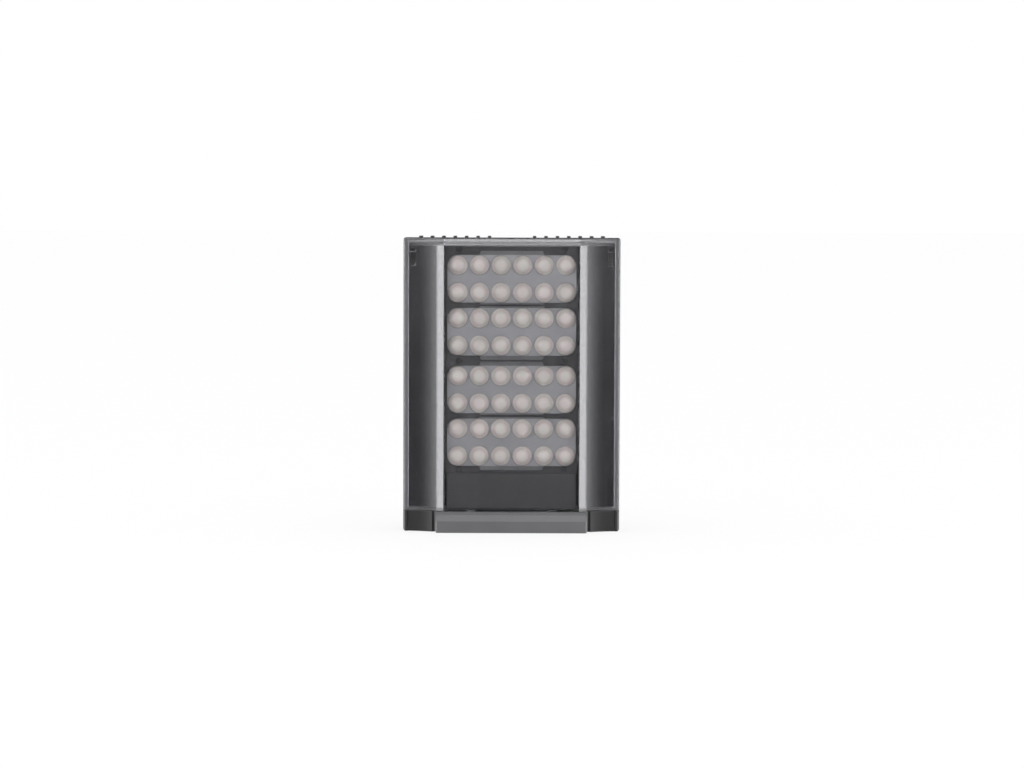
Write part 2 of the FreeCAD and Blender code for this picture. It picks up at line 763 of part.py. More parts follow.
def add_clips(body):
    """Two sprung fingers in each clip window, with hooks behind the bezel's wall."""
    hook_start = wing_deep + bezel_inset + s.bezel_wall + s.clip_gap
    hook_end = hook_start + s.clip_hook_long
    low = clip_low + s.clip_gap
    high = clip_top - s.clip_gap
    for side in clip_sides(s.clip_gap):
        block(body, *side, low, low + s.clip_thick, wing_deep, hook_end)
        block(body, *side, low - s.clip_hook, low + s.clip_thick, hook_start, hook_end)
        block(body, *side, high - s.clip_thick, high, wing_deep, hook_end)
        block(body, *side, high - s.clip_thick, high + s.clip_hook, hook_start, hook_end)


def make_inner_bezel():
    """Black liner behind the wings and the top bevel, with screw posts and clip windows."""
    body = new_body("inner_bezel")
    low = tray_low + s.shell_gap
    bevel_low = cover_high - s.top_bevel_high - s.cut_past
    side = wing_end - s.shell_gap
    shape = hollow_section(bezel_inset, floor_deep, side)
    pad_along(body, outline(plan_sketch(body, low), shape), bevel_low - low)
    start = outline(plan_sketch(body, bevel_low), shape)
    pulled = hollow_section(bezel_inset, floor_deep, side, s.top_bevel_pull * 0.75)
    end = outline(plan_sketch(body, bezel_high), pulled)
    loft(body, "Additive", start, end)
    inset = bezel_inset + s.bezel_wall
    hollow = hollow_section(inset, floor_deep + s.cut_past, side - s.bezel_wall)
    cut_low = low - s.cut_past
    cut_along(body, outline(plan_sketch(body, cut_low), hollow), bezel_high - s.bezel_top - cut_low)
    start = bevel_deep - s.bezel_wall
    outer = well_half + s.bezel_wall
    for left, right in ((well_half, outer), (-outer, -well_half)):
        block(body, left, right, low, well_high, start, floor_deep)
    past = floor_deep + s.cut_past
    opening(body, -well_half, well_half, cut_low, well_high, 0, past)
    places = bezel_screw_places()
    post(body, places, s.post_radius, wing_deep + bezel_inset - s.bezel_wall / 3, floor_deep)
    depth = s.screw_grip + s.screw_room
    hole(body, places, s.screw_radius + s.thread_gap, floor_deep - depth, floor_deep)
    for side in clip_sides(as_size(0)):
        opening(body, *side, clip_low, clip_top, bevel_deep, s.seam_deep + s.cut_past * 2)
    return body


def make_bottom_trim():
    """Chin along the bottom: raised block with a bevel, grooves, scooped wings and keys."""
    body = new_body("bottom_trim")
    half = [
        (wing_start - s.chin_edge, 0),
        (wing_start, s.chin_edge),
        (wing_start, s.groove_deep - s.chin_edge),
        (wing_start + s.groove_run, s.groove_deep),
        (chin_wing_start, s.chin_wing_deep),
        (wing_end, wing_deep, s.chin_wing_sag),
        (wing_end + s.lip_run, lip_deep),
        (half_wide, rim_deep, -s.rim_bulge),
        (half_wide, s.seam_deep),
    ]
    pad_along(body, outline(plan_sketch(body, 0), both_sides(half)), s.chin_high)
    wedge = [
        (0, s.chin_bevel_low),
        (s.window_deep, s.chin_bevel_low + s.chin_bevel_high),
        (s.window_deep, s.chin_high + s.cut_past),
        (-s.cut_past, s.chin_high + s.cut_past),
        (-s.cut_past, s.chin_bevel_low),
    ]
    cut_along(body, outline(side_sketch(body, -half_wide), wedge), s.lamp_wide)
    inner_side = wing_start - s.cover_wall
    inner_wing = s.groove_deep + s.cover_wall
    hollow = [
        (inner_side, s.window_deep + s.cover_wall),
        (inner_side, inner_wing),
        (chin_wing_start, inner_wing),
        (wing_end, wing_deep + s.cover_wall, s.chin_wing_sag),
        (wing_end, s.seam_deep + s.cut_past),
    ]
    inside = outline(plan_sketch(body, s.cover_wall), both_sides(hollow))
    cut_along(body, inside, s.chin_high - s.cover_wall * 2)
    inner = [place for place in chin_screw_places() if abs(place[0].value) < wing_start.value]
    outer = [place for place in chin_screw_places() if abs(place[0].value) > wing_start.value]
    post(body, inner, s.post_radius, s.window_deep + s.cover_wall / 2, floor_deep)
    post(body, outer, s.post_radius, wing_deep + s.shell_gap, floor_deep)
    depth = s.screw_grip + s.screw_room
    hole(body, chin_screw_places(), s.screw_radius + s.thread_gap, floor_deep - depth, floor_deep)
    round_corners(body, as_size(0), -1)
    end = s.key_deep + s.key_thick
    low = s.chin_high - s.cover_wall / 2
    for middle in (-s.key_side, s.key_side):
        high = cover_low + s.key_grip
        block(body, middle - key_half, middle + key_half, low, high, s.key_deep, end)
    return body


# Mask, panel and lens modules

def module_corners(middle, top_tab, bottom_tab, grow):
    """Outline of a module with its tabs, from the front, grown by a gap."""
    side = module_wide / 2 + grow
    half = module_high / 2 + grow
    top = middle + half
    low = middle - half
    corner = module_round + grow
    sag = -(corner * QUARTER_SAG)
    tab = s.tab_half + grow
    top_out = top + top_tab
    low_out = low - bottom_tab
    slope_top = s.tab_slope * (top_tab / s.big_tab)
    slope_low = s.tab_slope * (bottom_tab / s.big_tab)
    return [
        (-(side - corner), low, sag),
        (-tab, low),
        (-(tab - slope_low), low_out),
        (tab - slope_low, low_out),
        (tab, low),
        (side - corner, low),
        (side, low + corner, sag),
        (side, top - corner),
        (side - corner, top, sag),
        (tab, top),
        (tab - slope_top, top_out),
        (-(tab - slope_top), top_out),
        (-tab, top),
        (-(side - corner), top),
        (-side, top - corner, sag),
        (-side, low + corner),
    ]


def tabs_of(number):
    """Top and bottom tab of a module: the big one looks away from its pair."""
    return (s.big_tab, s.small_tab) if number % 2 == 0 else (s.small_tab, s.big_tab)


def make_lens_mask():
    """Black plate in front of the modules, with an opening round each."""
    body = new_body("lens_mask")
    block(body, -mask_half, mask_half, mask_low, mask_high, s.mask_deep, mask_back)
    for number, middle in enumerate(module_middles()):
        corners = module_corners(middle, *tabs_of(number), s.module_gap)
        cut_back(body, outline(front_sketch(body, s.mask_deep), corners), s.mask_thick)
    hole(body, mask_screw_places(), s.small_radius + s.thread_gap, s.mask_deep, mask_back)
    return body


def make_lower_panel():
    """Blank panel below the modules, on four pegs."""
    body = new_body("lower_panel")
    low = cover_low + bezel_inset
    high = mask_low - s.module_gap
    block(body, -panel_half, panel_half, low, high, s.panel_deep, panel_back)
    rows = (low + s.panel_peg_edge, high - s.panel_peg_edge)
    side = panel_half - s.panel_peg_side
    places = [(sign * side, row) for row in rows for sign in (-1, 1)]
    post(body, places, s.panel_peg_radius, panel_back, floor_deep)
    return body


def lens_sag():
    """Rise of a lens's curve above the chord from its middle to its edge."""
    chord = lens_radius * lens_radius + s.lens_rise * s.lens_rise
    curve = chord / (s.lens_rise * 2)
    return curve - root(curve * curve - chord / 4)


def lens_rows(middle):
    """Heights of a module's rows of lenses."""
    rise = s.lens_row_pitch / 2
    return (middle - rise, middle + rise)


def make_lens_module(number, middle):
    """One moulding: plate with two tabs, two rows of lenses and legs down to the board."""
    body = new_body(f"lens_module_{number + 1}")
    corners = module_corners(middle, *tabs_of(number), as_size(0))
    pad_back(body, outline(front_sketch(body, s.module_deep), corners), s.module_thick)
    half = [
        (0, s.module_thick / 2),
        (0, -s.lens_rise),
        (lens_radius, 0, -lens_sag()),
        (lens_radius, s.module_thick / 2),
    ]
    for up in lens_rows(middle):
        sketch = outline(plan_sketch(body, up, first_lens, s.module_deep), half)
        row_of(body, turn(body, "Revolution", sketch), s.lens_pitch, LENSES_A_ROW)
    legs = [(s.lens_pitch * place, middle) for place in (-1, 0, 1)]
    post(body, legs, s.leg_radius, module_back, board_deep)
    return body


def make_light_board(number, middle):
    """Light board: a plain plate with two screw holes."""
    body = new_body(f"light_board_{number + 1}")
    side = board_wide / 2
    rise = board_high / 2
    back = board_deep + s.board_thick
    block(body, -side, side, middle - rise, middle + rise, board_deep, back)
    hole(body, board_screw_places(middle), s.small_radius + s.thread_gap, board_deep, back)
    return body


def make_thermal_pad(number, middle):
    """Thin pad between a light board and the housing's floor."""
    body = new_body(f"thermal_pad_{number + 1}")
    side = board_wide / 2
    rise = board_high / 2
    top = board_deep + s.board_thick
    block(body, -side, side, middle - rise, middle + rise, top, floor_deep)
    hole(body, board_screw_places(middle), s.small_radius + s.thread_gap, top, floor_deep)
    return body


def make_emitters(number, middle):
    """Twelve emitters of a light board, one under each lens."""
    body = new_body(f"emitters_{number + 1}")
    half = s.emitter_wide / 2
    left = first_lens - half
    start = board_deep - s.emitter_high
    for up in lens_rows(middle):
        one = block(body, left, left + s.emitter_wide, up - half, up + half, start, board_deep)
        row_of(body, one, s.lens_pitch, LENSES_A_ROW)
    return body


# Housing and its gasket

def seal_ring(sketch):
    """Two outlines with the gasket between them, just inside the cover's outline."""
    outer = s.seal_edge
    inner = s.seal_edge + s.seal_wide
    for inset in (outer, inner):
        side = half_wide - inset
        low = cover_low + inset
        high = cover_high - inset
        outline(sketch, box_corners(-side, side, low, high, s.corner_round - inset))
    return sketch


def make_cover_gasket():
    """Gasket in its groove round the sealed space."""
    body = new_body("cover_gasket")
    pad_back(body, seal_ring(front_sketch(body, s.seam_deep)), s.seal_deep)
    return body


def add_fins(body):
    """Fins and side walls behind the floor, over the full height."""
    root_half = s.fin_root / 2
    tip_half = s.fin_tip / 2
    section = [
        (-root_half, s.fin_start),
        (root_half, s.fin_start),
        (root_half, back_deep),
        (tip_half, tip_deep),
        (-tip_half, tip_deep),
        (-root_half, back_deep),
    ]
    last = s.fin_first + fin_pitch * (FINS_A_SIDE - 1)
    for start in (-last, s.fin_first):
        sketch = outline(plan_sketch(body, 0, start), section)
        fin = pad_along(body, sketch, s.body_high + s.fin_rise)
        row_of(body, fin, fin_pitch, FINS_A_SIDE)
    edge = back_deep + s.skirt_reach
    skirt = [
        (half_wide, back_deep - s.cut_past),
        (half_wide, back_deep),
        (half_wide - s.skirt_lean, edge),
        (half_wide - s.skirt_lean - s.skirt_tip, edge),
        (half_wide - s.skirt_root, back_deep),
        (half_wide - s.skirt_root, back_deep - s.cut_past),
    ]
    sketch = outline(plan_sketch(body, s.corner_round), skirt)
    wall = pad_along(body, sketch, s.body_high - s.corner_round * 2)
    mirror(body, [wall])


def trim_fins(body):
    """Cut the fins' tips to a shallow arc and round their upper and lower ends."""
    side = half_wide + s.cut_past
    past = tip_deep + s.fin_arc_fall
    tips = [
        (-side, tip_deep - s.fin_arc_fall),
        (side, tip_deep - s.fin_arc_fall, s.fin_arc_fall),
        (side, past),
        (-side, past),
    ]
    top = s.body_high + s.fin_rise
    cut_along(body, outline(plan_sketch(body, -s.cut_past), tips), top + s.cut_past * 2)
    sag = s.fin_end_round * QUARTER_SAG
    start = tip_deep - s.fin_end_round
    for end, turned, beyond in ((top, 1, top + s.cut_past), (as_size(0), -1, -s.cut_past)):
        inner = end - turned * s.fin_end_round
        corner = [
            (start, beyond),
            (start, end),
            (tip_deep, inner, turned * sag),
            (past, inner),
            (past, beyond),
        ]
        cut_along(body, outline(side_sketch(body, -half_wide), corner), s.lamp_wide)


def make_heatsink_housing():
    """Die-cast housing: tray, floor, fins, side walls, posts and threaded holes."""
    body = new_body("heatsink_housing")
    block(body, -half_wide, half_wide, 0, s.body_high, s.seam_deep, back_deep, s.corner_round)
    add_fins(body)
    trim_fins(body)
    tray_high = s.body_high - s.tray_wall
    opening(body, -wing_end, wing_end, tray_low, tray_high, s.seam_deep, floor_deep)
    chin_top = s.chin_high - s.land_low
    opening(body, -wing_end, wing_end, s.foot_wall, chin_top, s.seam_deep, floor_deep)
    cut_back(body, seal_ring(front_sketch(body, s.seam_deep)), s.seal_deep)
    small_hole = s.small_radius + s.thread_gap
    small_deep = s.small_grip + s.screw_room
    post(body, mask_screw_places(), s.stand_radius, mask_back, floor_deep)
    hole(body, mask_screw_places(), small_hole, mask_back, mask_back + small_deep)
    post(body, driver_screw_places(), s.stand_radius, driver_back, floor_deep)
    hole(body, driver_screw_places(), small_hole, driver_back, driver_back + small_deep)
    boards = [place for middle in module_middles() for place in board_screw_places(middle)]
    hole(body, boards, small_hole, floor_deep, floor_deep + small_deep)
    through = bezel_screw_places() + chin_screw_places()
    hole(body, through, s.screw_radius + s.screw_clear, floor_deep, back_deep)
    post(body, foot_screw_places(), s.foot_post, back_deep, seat_deep)
    foot_bottom = seat_deep - s.foot_grip - s.screw_room
    hole(body, foot_screw_places(), s.foot_thread + s.thread_gap, foot_bottom, seat_deep)
    vent = [(0, s.vent_high)]
    post(body, vent, s.vent_post, back_deep, seat_deep)
    hole(body, vent, s.vent_thread + s.thread_gap, floor_deep, seat_deep)
    gland = [(0, s.gland_high)]
    post(body, gland, s.gland_post, back_deep, gland_seat)
    gland_bottom = gland_seat - s.gland_thread_long
    hole(body, gland, s.gland_thread + s.thread_gap, gland_bottom, gland_seat)
    hole(body, gland, s.gland_seal, floor_deep, gland_bottom)
    return body


# Driver board and what it carries

def make_driver_board():
    """Driver board on its four posts."""
    body = new_body("driver_board")
    side = s.driver_wide / 2
    rise = s.driver_high / 2
    middle = s.driver_middle
    block(body, -side, side, middle - rise, middle + rise, driver_deep, driver_back)
    small_hole = s.small_radius + s.thread_gap
    hole(body, driver_screw_places(), small_hole, driver_deep, driver_back)
    return body


def make_driver_capacitors():
    """Two electrolytic capacitors that lie on the driver board, with their crimps."""
    body = new_body("driver_capacitors")
    deep = driver_deep - s.cap_radius - s.thread_gap
    places = [(0, s.cap_pitch / 2), (0, -(s.cap_pitch / 2))]
    cans = circles(side_sketch(body, -cap_left, deep, s.driver_middle), places, s.cap_radius)
    pad_along(body, cans, s.cap_long)
    crimp = side_sketch(body, -cap_left + s.cap_long * 0.8, deep, s.driver_middle)
    circles(crimp, places, s.cap_radius + s.cap_neck)
    circles(crimp, places, s.cap_radius - s.cap_neck)
    cut_along(body, crimp, s.cap_neck * 2)
    return body


def make_driver_inductor():
    """Inductor on the driver board: square base with a round coil."""
    body = new_body("driver_inductor")
    half = s.choke_wide / 2
    middle = s.driver_middle
    base = driver_deep - s.choke_base
    left = s.choke_side - half
    right = s.choke_side + half
    block(body, left, right, middle - half, middle + half, base, driver_deep)
    post(body, [(s.choke_side, middle)], s.choke_radius, driver_deep - s.choke_high, base)
    return body


def make_terminal_block():
    """Terminal block on the driver board, with a wire port for each terminal."""
    body = new_body("terminal_block")
    half = s.block_pitch * TERMINALS / 2
    rise = s.block_deep / 2
    middle = s.driver_middle
    front = driver_deep - s.block_high
    left = block_side - half
    block(body, left, block_side + half, middle - rise, middle + rise, front, driver_deep)
    port = s.block_port / 2
    sketch = plan_sketch(body, middle - rise)
    for number in range(TERMINALS):
        across = left + s.block_pitch * (number + 0.5)
        deep = driver_deep - s.block_high / 2
        outline(sketch, box_corners(across - port, across + port, deep - port, deep + port))
    cut_along(body, sketch, rise)
    return body


# Screws

def make_screws(label, places, radius, head, seat, top, end):
    """Screws from the face that the head seats on: head to one depth, thread to the other."""
    body = new_body(label)
    thread_first = end.value < seat.value
    near, far = (end, seat) if thread_first else (seat, end)
    post(body, places, radius, near, far)
    near, far = (seat, top) if thread_first else (top, seat)
    post(body, places, head, near, far)
    return body


def make_all_screws():
    """All groups of like screws."""
    head = back_deep + s.screw_head_high
    end = floor_deep - s.screw_grip
    for label, places in (("bezel_screws", bezel_screw_places()), ("trim_screws", chin_screw_places())):
        make_screws(label, places, s.screw_radius, s.screw_head, back_deep, head, end)
    boards = [place for middle in module_middles() for place in board_screw_places(middle)]
    small = (
        ("mask_screws", mask_screw_places(), s.mask_deep, mask_back),
        ("board_screws", boards, board_deep, floor_deep),
        ("driver_screws", driver_screw_places(), driver_deep, driver_back),
    )
    for label, places, seat, grip in small:
        head = seat - s.small_head_high
        make_screws(label, places, s.small_radius, s.small_head, seat, head, grip + s.small_grip)
    head = foot_back + s.foot_head_high
    end = seat_deep - s.foot_grip
    foot = make_screws(
        "foot_screws", foot_screw_places(), s.foot_thread, s.foot_head, foot_back, head, end
    )
    for across, up in foot_screw_places():
        socket = outline(front_sketch(foot, head - s.socket_deep, across, up), hex_corners(s.socket_flat))
        cut_back(foot, socket, s.socket_deep)


# Breather and cable gland

def make_pressure_vent():
    """Breather that lets the housing breathe: threaded stem, cap and bore."""
    body = new_body("pressure_vent")
    place = [(0, s.vent_high)]
    start = floor_deep + s.vent_bore
    top = seat_deep + s.vent_cap_high
    post(body, place, s.vent_thread, start, seat_deep)
    post(body, place, s.vent_cap, seat_deep, top)
    hole(body, place, s.vent_bore, start, top - s.vent_bore)
    slot = [(-s.vent_cap, -(s.vent_bore / 2)), (s.vent_cap, -(s.vent_bore / 2)),
            (s.vent_cap, s.vent_bore / 2), (-s.vent_cap, s.vent_bore / 2)]
    slots = outline(front_sketch(body, top - s.vent_bore, 0, s.vent_high), slot)
    cut_back(body, slots, s.vent_bore)
    return body


def make_gland_body():
    """Body of the cable gland: thread, flats and stem round a bore."""
    body = new_body("gland_body")
    place = [(0, s.gland_high)]
    start = gland_seat - s.gland_thread_long
    post(body, place, s.gland_thread, start, gland_seat)
    flats = outline(front_sketch(body, gland_seat, 0, s.gland_high), hex_corners(s.gland_hex))
    pad_back(body, flats, s.gland_hex_high)
    post(body, place, s.gland_stem, gland_shoulder, gland_end)
    hole(body, place, s.gland_seal, start, gland_end)
    return body


def make_gland_seal():
    """Rubber sleeve that the gland squeezes round the cable."""
    body = new_body("gland_seal")
    sketch = front_sketch(body, gland_end - s.gland_seal_long + s.cut_past, 0, s.gland_high)
    circle(sketch, 0, 0, s.gland_seal - s.thread_gap)
    circle(sketch, 0, 0, s.gland_cable)
    pad_back(body, sketch, s.gland_seal_long)
    return body


def make_gland_nut():
    """Dome nut of the gland, turned round the cable's line."""
    body = new_body("gland_nut")
    sketch = plan_sketch(body, s.gland_high)
    near = gland_shoulder + s.shell_gap
    far = gland_shoulder + s.gland_nut_high
    inside = s.gland_stem + s.thread_gap
    wall = s.gland_nut_radius - inside
    cone = gland_end + s.cut_past + s.shell_gap
    outline(sketch, [
        (inside, near),
        (s.gland_nut_radius, near),
        (s.gland_nut_radius, far - wall * 2),
        (s.gland_mouth + wall, far, -(wall * QUARTER_SAG)),
        (s.gland_mouth, far),
        (s.gland_mouth, cone + wall),
        (inside, cone),
    ])
    turn(body, "Revolution", sketch)
    return body


# Bracket, hinge and wall arm

def knuckle_end(body, across, long):
    """Round end about the hinge's line, from one side plane to the right."""
    ring = circle(side_sketch(body, across), hinge_deep, s.hinge_high, s.knuckle)
    return pad_along(body, ring, long)


def hinge_bore(body, half):
    """Hole for the tilt bolt, right through."""
    radius = s.bolt_radius + s.bolt_gap
    bore = circle(side_sketch(body, -half), hinge_deep, s.hinge_high, radius)
    cut_along(body, bore, half * 2)


def make_bracket_foot():
    """Foot on the housing's posts, with two ears for the hinge."""
    body = new_body("bracket_foot")
    half = s.foot_high / 2
    middle = s.hinge_high
    low = middle - half
    block(body, -s.foot_half, s.foot_half, low, middle + half, seat_deep, foot_back, s.foot_round)
    inside = foot_back - s.cut_past
    ear = [
        (inside, middle - s.ear_base),
        (hinge_deep, middle - s.knuckle),
        (hinge_deep, middle + s.knuckle),
        (inside, middle + s.ear_base),
    ]
    plate = pad_along(body, outline(side_sketch(body, ear_half), ear), s.ear_thick)
    knuckle = knuckle_end(body, ear_half, s.ear_thick)
    mirror(body, [plate, knuckle])
    hole(body, foot_screw_places(), s.foot_thread + s.screw_clear, seat_deep, foot_back)
    hinge_bore(body, ear_outer)
    return body


def make_wall_arm():
    """Arm with a tongue between the ears, two side webs and a wall plate."""
    body = new_body("wall_arm")
    middle = s.hinge_high
    plate_deep = wall_deep - s.plate_thick
    side = s.plate_wide / 2
    rise = s.plate_high / 2
    block(body, -side, side, middle - rise, middle + rise, plate_deep, wall_deep, s.plate_round)
    inside = plate_deep + s.cut_past
    arm = [
        (inside, middle - s.neck_half),
        (inside, middle + s.neck_half),
        (hinge_deep, middle + s.knuckle),
        (hinge_deep, middle - s.knuckle),
    ]
    tongue = s.tongue_wide / 2
    pad_along(body, outline(side_sketch(body, -tongue), arm), s.tongue_wide)
    knuckle_end(body, -tongue, s.tongue_wide)
    web_deep = hinge_deep + s.web_start
    web = [(-s.web_half, inside), (s.web_half, inside), (tongue, web_deep), (-tongue, web_deep)]
    pad_along(body, outline(plan_sketch(body, middle - s.web_thick / 2), web), s.web_thick)
    hole(body, plate_hole_places(), s.plate_hole, plate_deep, wall_deep)
    hinge_bore(body, tongue)
    return body


def make_tilt_bolt():
    """Hexagon bolt through both ears and the tongue."""
    body = new_body("tilt_bolt")
    start = -(washer_outer + s.nut_high + s.bolt_past)
    shank = circle(side_sketch(body, start, hinge_deep, s.hinge_high), 0, 0, s.bolt_radius)
    pad_along(body, shank, washer_outer - start)
    head = side_sketch(body, washer_outer, hinge_deep, s.hinge_high)
    pad_along(body, outline(head, hex_corners(s.bolt_hex)), s.bolt_head_high)
    return body


def make_tilt_nut():
    """Hexagon nut on the tilt bolt."""
    body = new_body("tilt_nut")
    sketch = side_sketch(body, -(washer_outer + s.nut_high), hinge_deep, s.hinge_high)
    outline(sketch, hex_corners(s.bolt_hex))
    circle(sketch, 0, 0, s.bolt_radius + s.thread_gap)
    pad_along(body, sketch, s.nut_high)
    return body


def make_tilt_washers():
    """A washer under the bolt's head and one under its nut."""
    body = new_body("tilt_washers")
    sketch = side_sketch(body, ear_outer, hinge_deep, s.hinge_high)
    circle(sketch, 0, 0, s.washer_radius)
    circle(sketch, 0, 0, s.bolt_radius + s.thread_gap)
    mirror(body, [pad_along(body, sketch, s.washer_thick)])
    return body


def make_everything():
    """Build every sub-part of the lamp."""
    make_front_cover()
    make_inner_bezel()
    make_bottom_trim()
    make_lens_mask()
    make_lower_panel()
    for number, middle in enumerate(module_middles()):
        make_lens_module(number, middle)
        make_light_board(number, middle)
        make_thermal_pad(number, middle)
        make_emitters(number, middle)
    make_cover_gasket()
    make_heatsink_housing()
    make_driver_board()
    make_driver_capacitors()
    make_driver_inductor()
    make_terminal_block()
    make_all_screws()
    make_pressure_vent()
    make_gland_body()
    make_gland_seal()
    make_gland_nut()
    make_bracket_foot()
    make_wall_arm()
    make_tilt_bolt()
    make_tilt_nut()
    make_tilt_washers()


def check_document():
    """Stop where an object failed or a sub-part has no valid shape."""
    for item in doc.Objects:
        if "Invalid" in item.State or "Error" in item.State:
            raise RuntimeError(f"{item.Name} of {item.Label} failed: {item.State}")
    for body in sub_parts():
        if body.Shape.isNull() or not body.Shape.isValid():
            raise RuntimeError(f"{body.Label} has no valid shape")


def sub_parts():
    """Every sub-part of the document."""
    return [item for item in doc.Objects if item.TypeId == "PartDesign::Body"]


make_everything()
doc.recompute()
check_document()
os.makedirs("parts", exist_ok=True)
for body in sub_parts():
    body.Shape.exportStep(f"parts/{body.Label}.step")
    print(f"{body.Label}: {len(body.Shape.Solids)} solids, {body.Shape.Volume:.0f} cubic mm")
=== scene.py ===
# %% [markdown]
# # Dressing an infrared illuminator
# The lamp is an upright box of black castings behind a clear moulded cover. Its hard shapes
# come packed from CAD, and this lesson gives them their finishes, adds the optics that make
# the lenses look like lenses, and lights the lamp as a catalogue photograph would.
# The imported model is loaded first, because everything else is placed from it. Blender works
# in metres, so a size is written in millimetres and multiplied by MM.

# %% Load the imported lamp
import math

import bmesh
import bpy
from mathutils import Matrix, Vector


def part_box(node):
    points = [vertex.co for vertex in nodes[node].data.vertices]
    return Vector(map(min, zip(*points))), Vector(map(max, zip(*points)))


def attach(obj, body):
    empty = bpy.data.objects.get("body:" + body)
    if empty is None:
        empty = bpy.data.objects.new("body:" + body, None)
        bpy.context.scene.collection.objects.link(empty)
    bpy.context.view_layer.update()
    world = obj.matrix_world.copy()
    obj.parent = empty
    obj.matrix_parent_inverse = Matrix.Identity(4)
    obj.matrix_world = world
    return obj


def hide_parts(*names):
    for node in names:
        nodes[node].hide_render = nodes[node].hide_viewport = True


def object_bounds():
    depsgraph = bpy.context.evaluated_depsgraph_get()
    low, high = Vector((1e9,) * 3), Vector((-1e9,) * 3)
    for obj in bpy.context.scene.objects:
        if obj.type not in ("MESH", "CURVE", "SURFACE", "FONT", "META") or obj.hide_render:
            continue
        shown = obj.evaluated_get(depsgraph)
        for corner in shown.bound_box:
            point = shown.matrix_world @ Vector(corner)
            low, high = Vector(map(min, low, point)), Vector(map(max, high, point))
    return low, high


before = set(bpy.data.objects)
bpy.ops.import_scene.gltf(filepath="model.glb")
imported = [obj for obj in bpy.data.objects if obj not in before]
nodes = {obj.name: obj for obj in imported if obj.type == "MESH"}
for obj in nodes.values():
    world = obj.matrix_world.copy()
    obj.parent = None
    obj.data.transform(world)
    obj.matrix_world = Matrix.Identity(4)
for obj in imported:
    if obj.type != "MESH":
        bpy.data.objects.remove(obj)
cad_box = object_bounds()
MM = 0.001
FRONT_Y = cad_box[0].y
MODULES = (1, 2, 3, 4)
print("CAD nodes:", len(nodes), "box:", [round(v / MM, 1) for corner in cad_box for v in corner])

# %% [markdown]
# ## The camera
# The photograph looks almost straight at the front, from a little above and from far away,
# so parallel edges stay parallel. A long lens does that. One pixel of the photograph is close
# to one millimetre on the lamp, and the lens is worked out from that.

# %% Camera
CAMERA_AWAY = 3.0
CAMERA_RISE = math.radians(3.3)
CAMERA_ROLL = math.radians(0.19)
AIM = Vector((0.0004, FRONT_Y + 12 * MM, 0.1477))
PHOTO_WIDE = 1024
PIXEL = 0.9945 * MM

camera_data = bpy.data.cameras.new("Camera")
camera_data.sensor_width = 36
camera_data.lens = camera_data.sensor_width * CAMERA_AWAY / (PHOTO_WIDE * PIXEL)
camera_data.clip_end = 100
camera = bpy.data.objects.new("Camera", camera_data)
bpy.context.scene.collection.objects.link(camera)
back = Vector((0, -math.cos(CAMERA_RISE), math.sin(CAMERA_RISE)))
camera.location = AIM + back * CAMERA_AWAY
level = (-back).to_track_quat("-Z", "Y").to_matrix().to_4x4()
camera.rotation_euler = (level @ Matrix.Rotation(CAMERA_ROLL, 4, "Z")).to_euler()
bpy.context.scene.camera = camera
print("lens:", round(camera_data.lens, 1), "mm at", CAMERA_AWAY, "m")

# %% [markdown]
# ## Node helpers
# A material is a small graph. These helpers add a node and fill its inputs by name, either
# with a plain value or with another node's output, so that each finish further down stays
# short enough to read.


# %% Helpers for node trees
def wire(tree, source, target):
    """A link from one socket to another."""
    tree.links.new(source, target)


def feed(tree, socket, value):
    """Give an input a plain value, or a link where the value is another node's output."""
    if isinstance(value, bpy.types.NodeSocket):
        wire(tree, value, socket)
    else:
        socket.default_value = value


def add(tree, kind, settings=None, **inputs):
    """A new node with its settings and with its inputs filled by name."""
    node = tree.nodes.new(kind)
    for word, value in (settings or {}).items():
        setattr(node, word, value)
    for word, value in inputs.items():
        feed(tree, node.inputs[word.replace("_", " ")], value)
    return node


def reckon(tree, operation, *terms):
    """The output of a math node, from outputs of other nodes or plain numbers."""
    node = add(tree, "ShaderNodeMath", {"operation": operation})
    for socket, term in zip(node.inputs, terms):
        feed(tree, socket, term)
    return node.outputs[0]


print("helpers for node trees ready")


# %% Helpers for shader groups
def group_of(name, inputs, outputs):
    """An empty shader group with named number inputs and outputs."""
    group = bpy.data.node_groups.new(name, "ShaderNodeTree")
    for word, value in inputs.items():
        socket = group.interface.new_socket(word, in_out="INPUT", socket_type="NodeSocketFloat")
        socket.default_value = value
    for word in outputs:
        group.interface.new_socket(word, in_out="OUTPUT", socket_type="NodeSocketFloat")
    return group, group.nodes.new("NodeGroupInput"), group.nodes.new("NodeGroupOutput")


def use(tree, group, **inputs):
    """A copy of a shader group in a material, with its own values."""
    return add(tree, "ShaderNodeGroup", {"node_tree": group}, **inputs)


print("helpers for shader groups ready")


# %% Helpers for colours and materials
def mix(tree, factor, first, second, blend="MIX"):
    """The mix of two colours."""
    node = add(tree, "ShaderNodeMix", {"data_type": "RGBA", "blend_type": blend},
               Factor=factor, A=first, B=second)
    return node.outputs["Result"]


def ramp(tree, source, steps, blend="LINEAR"):
    """The colour that a ramp gives, from steps of (position, red, green, blue)."""
    node = add(tree, "ShaderNodeValToRGB", Fac=source)
    node.color_ramp.interpolation = blend
    stops = node.color_ramp.elements
    for number, (at, *colour) in enumerate(steps):
        stop = stops[number] if number < 2 else stops.new(at)
        stop.position = at
        stop.color = (*colour, 1)
    return node.outputs["Color"]


def choose(tree, share, first, second, target):
    """Feed a surface with one of two shaders, or with a share of each."""
    node = add(tree, "ShaderNodeMixShader", Fac=share)
    wire(tree, first.outputs[0], node.inputs[1])
    wire(tree, second.outputs[0], node.inputs[2])
    wire(tree, node.outputs[0], tree.nodes[target].inputs["Surface"])


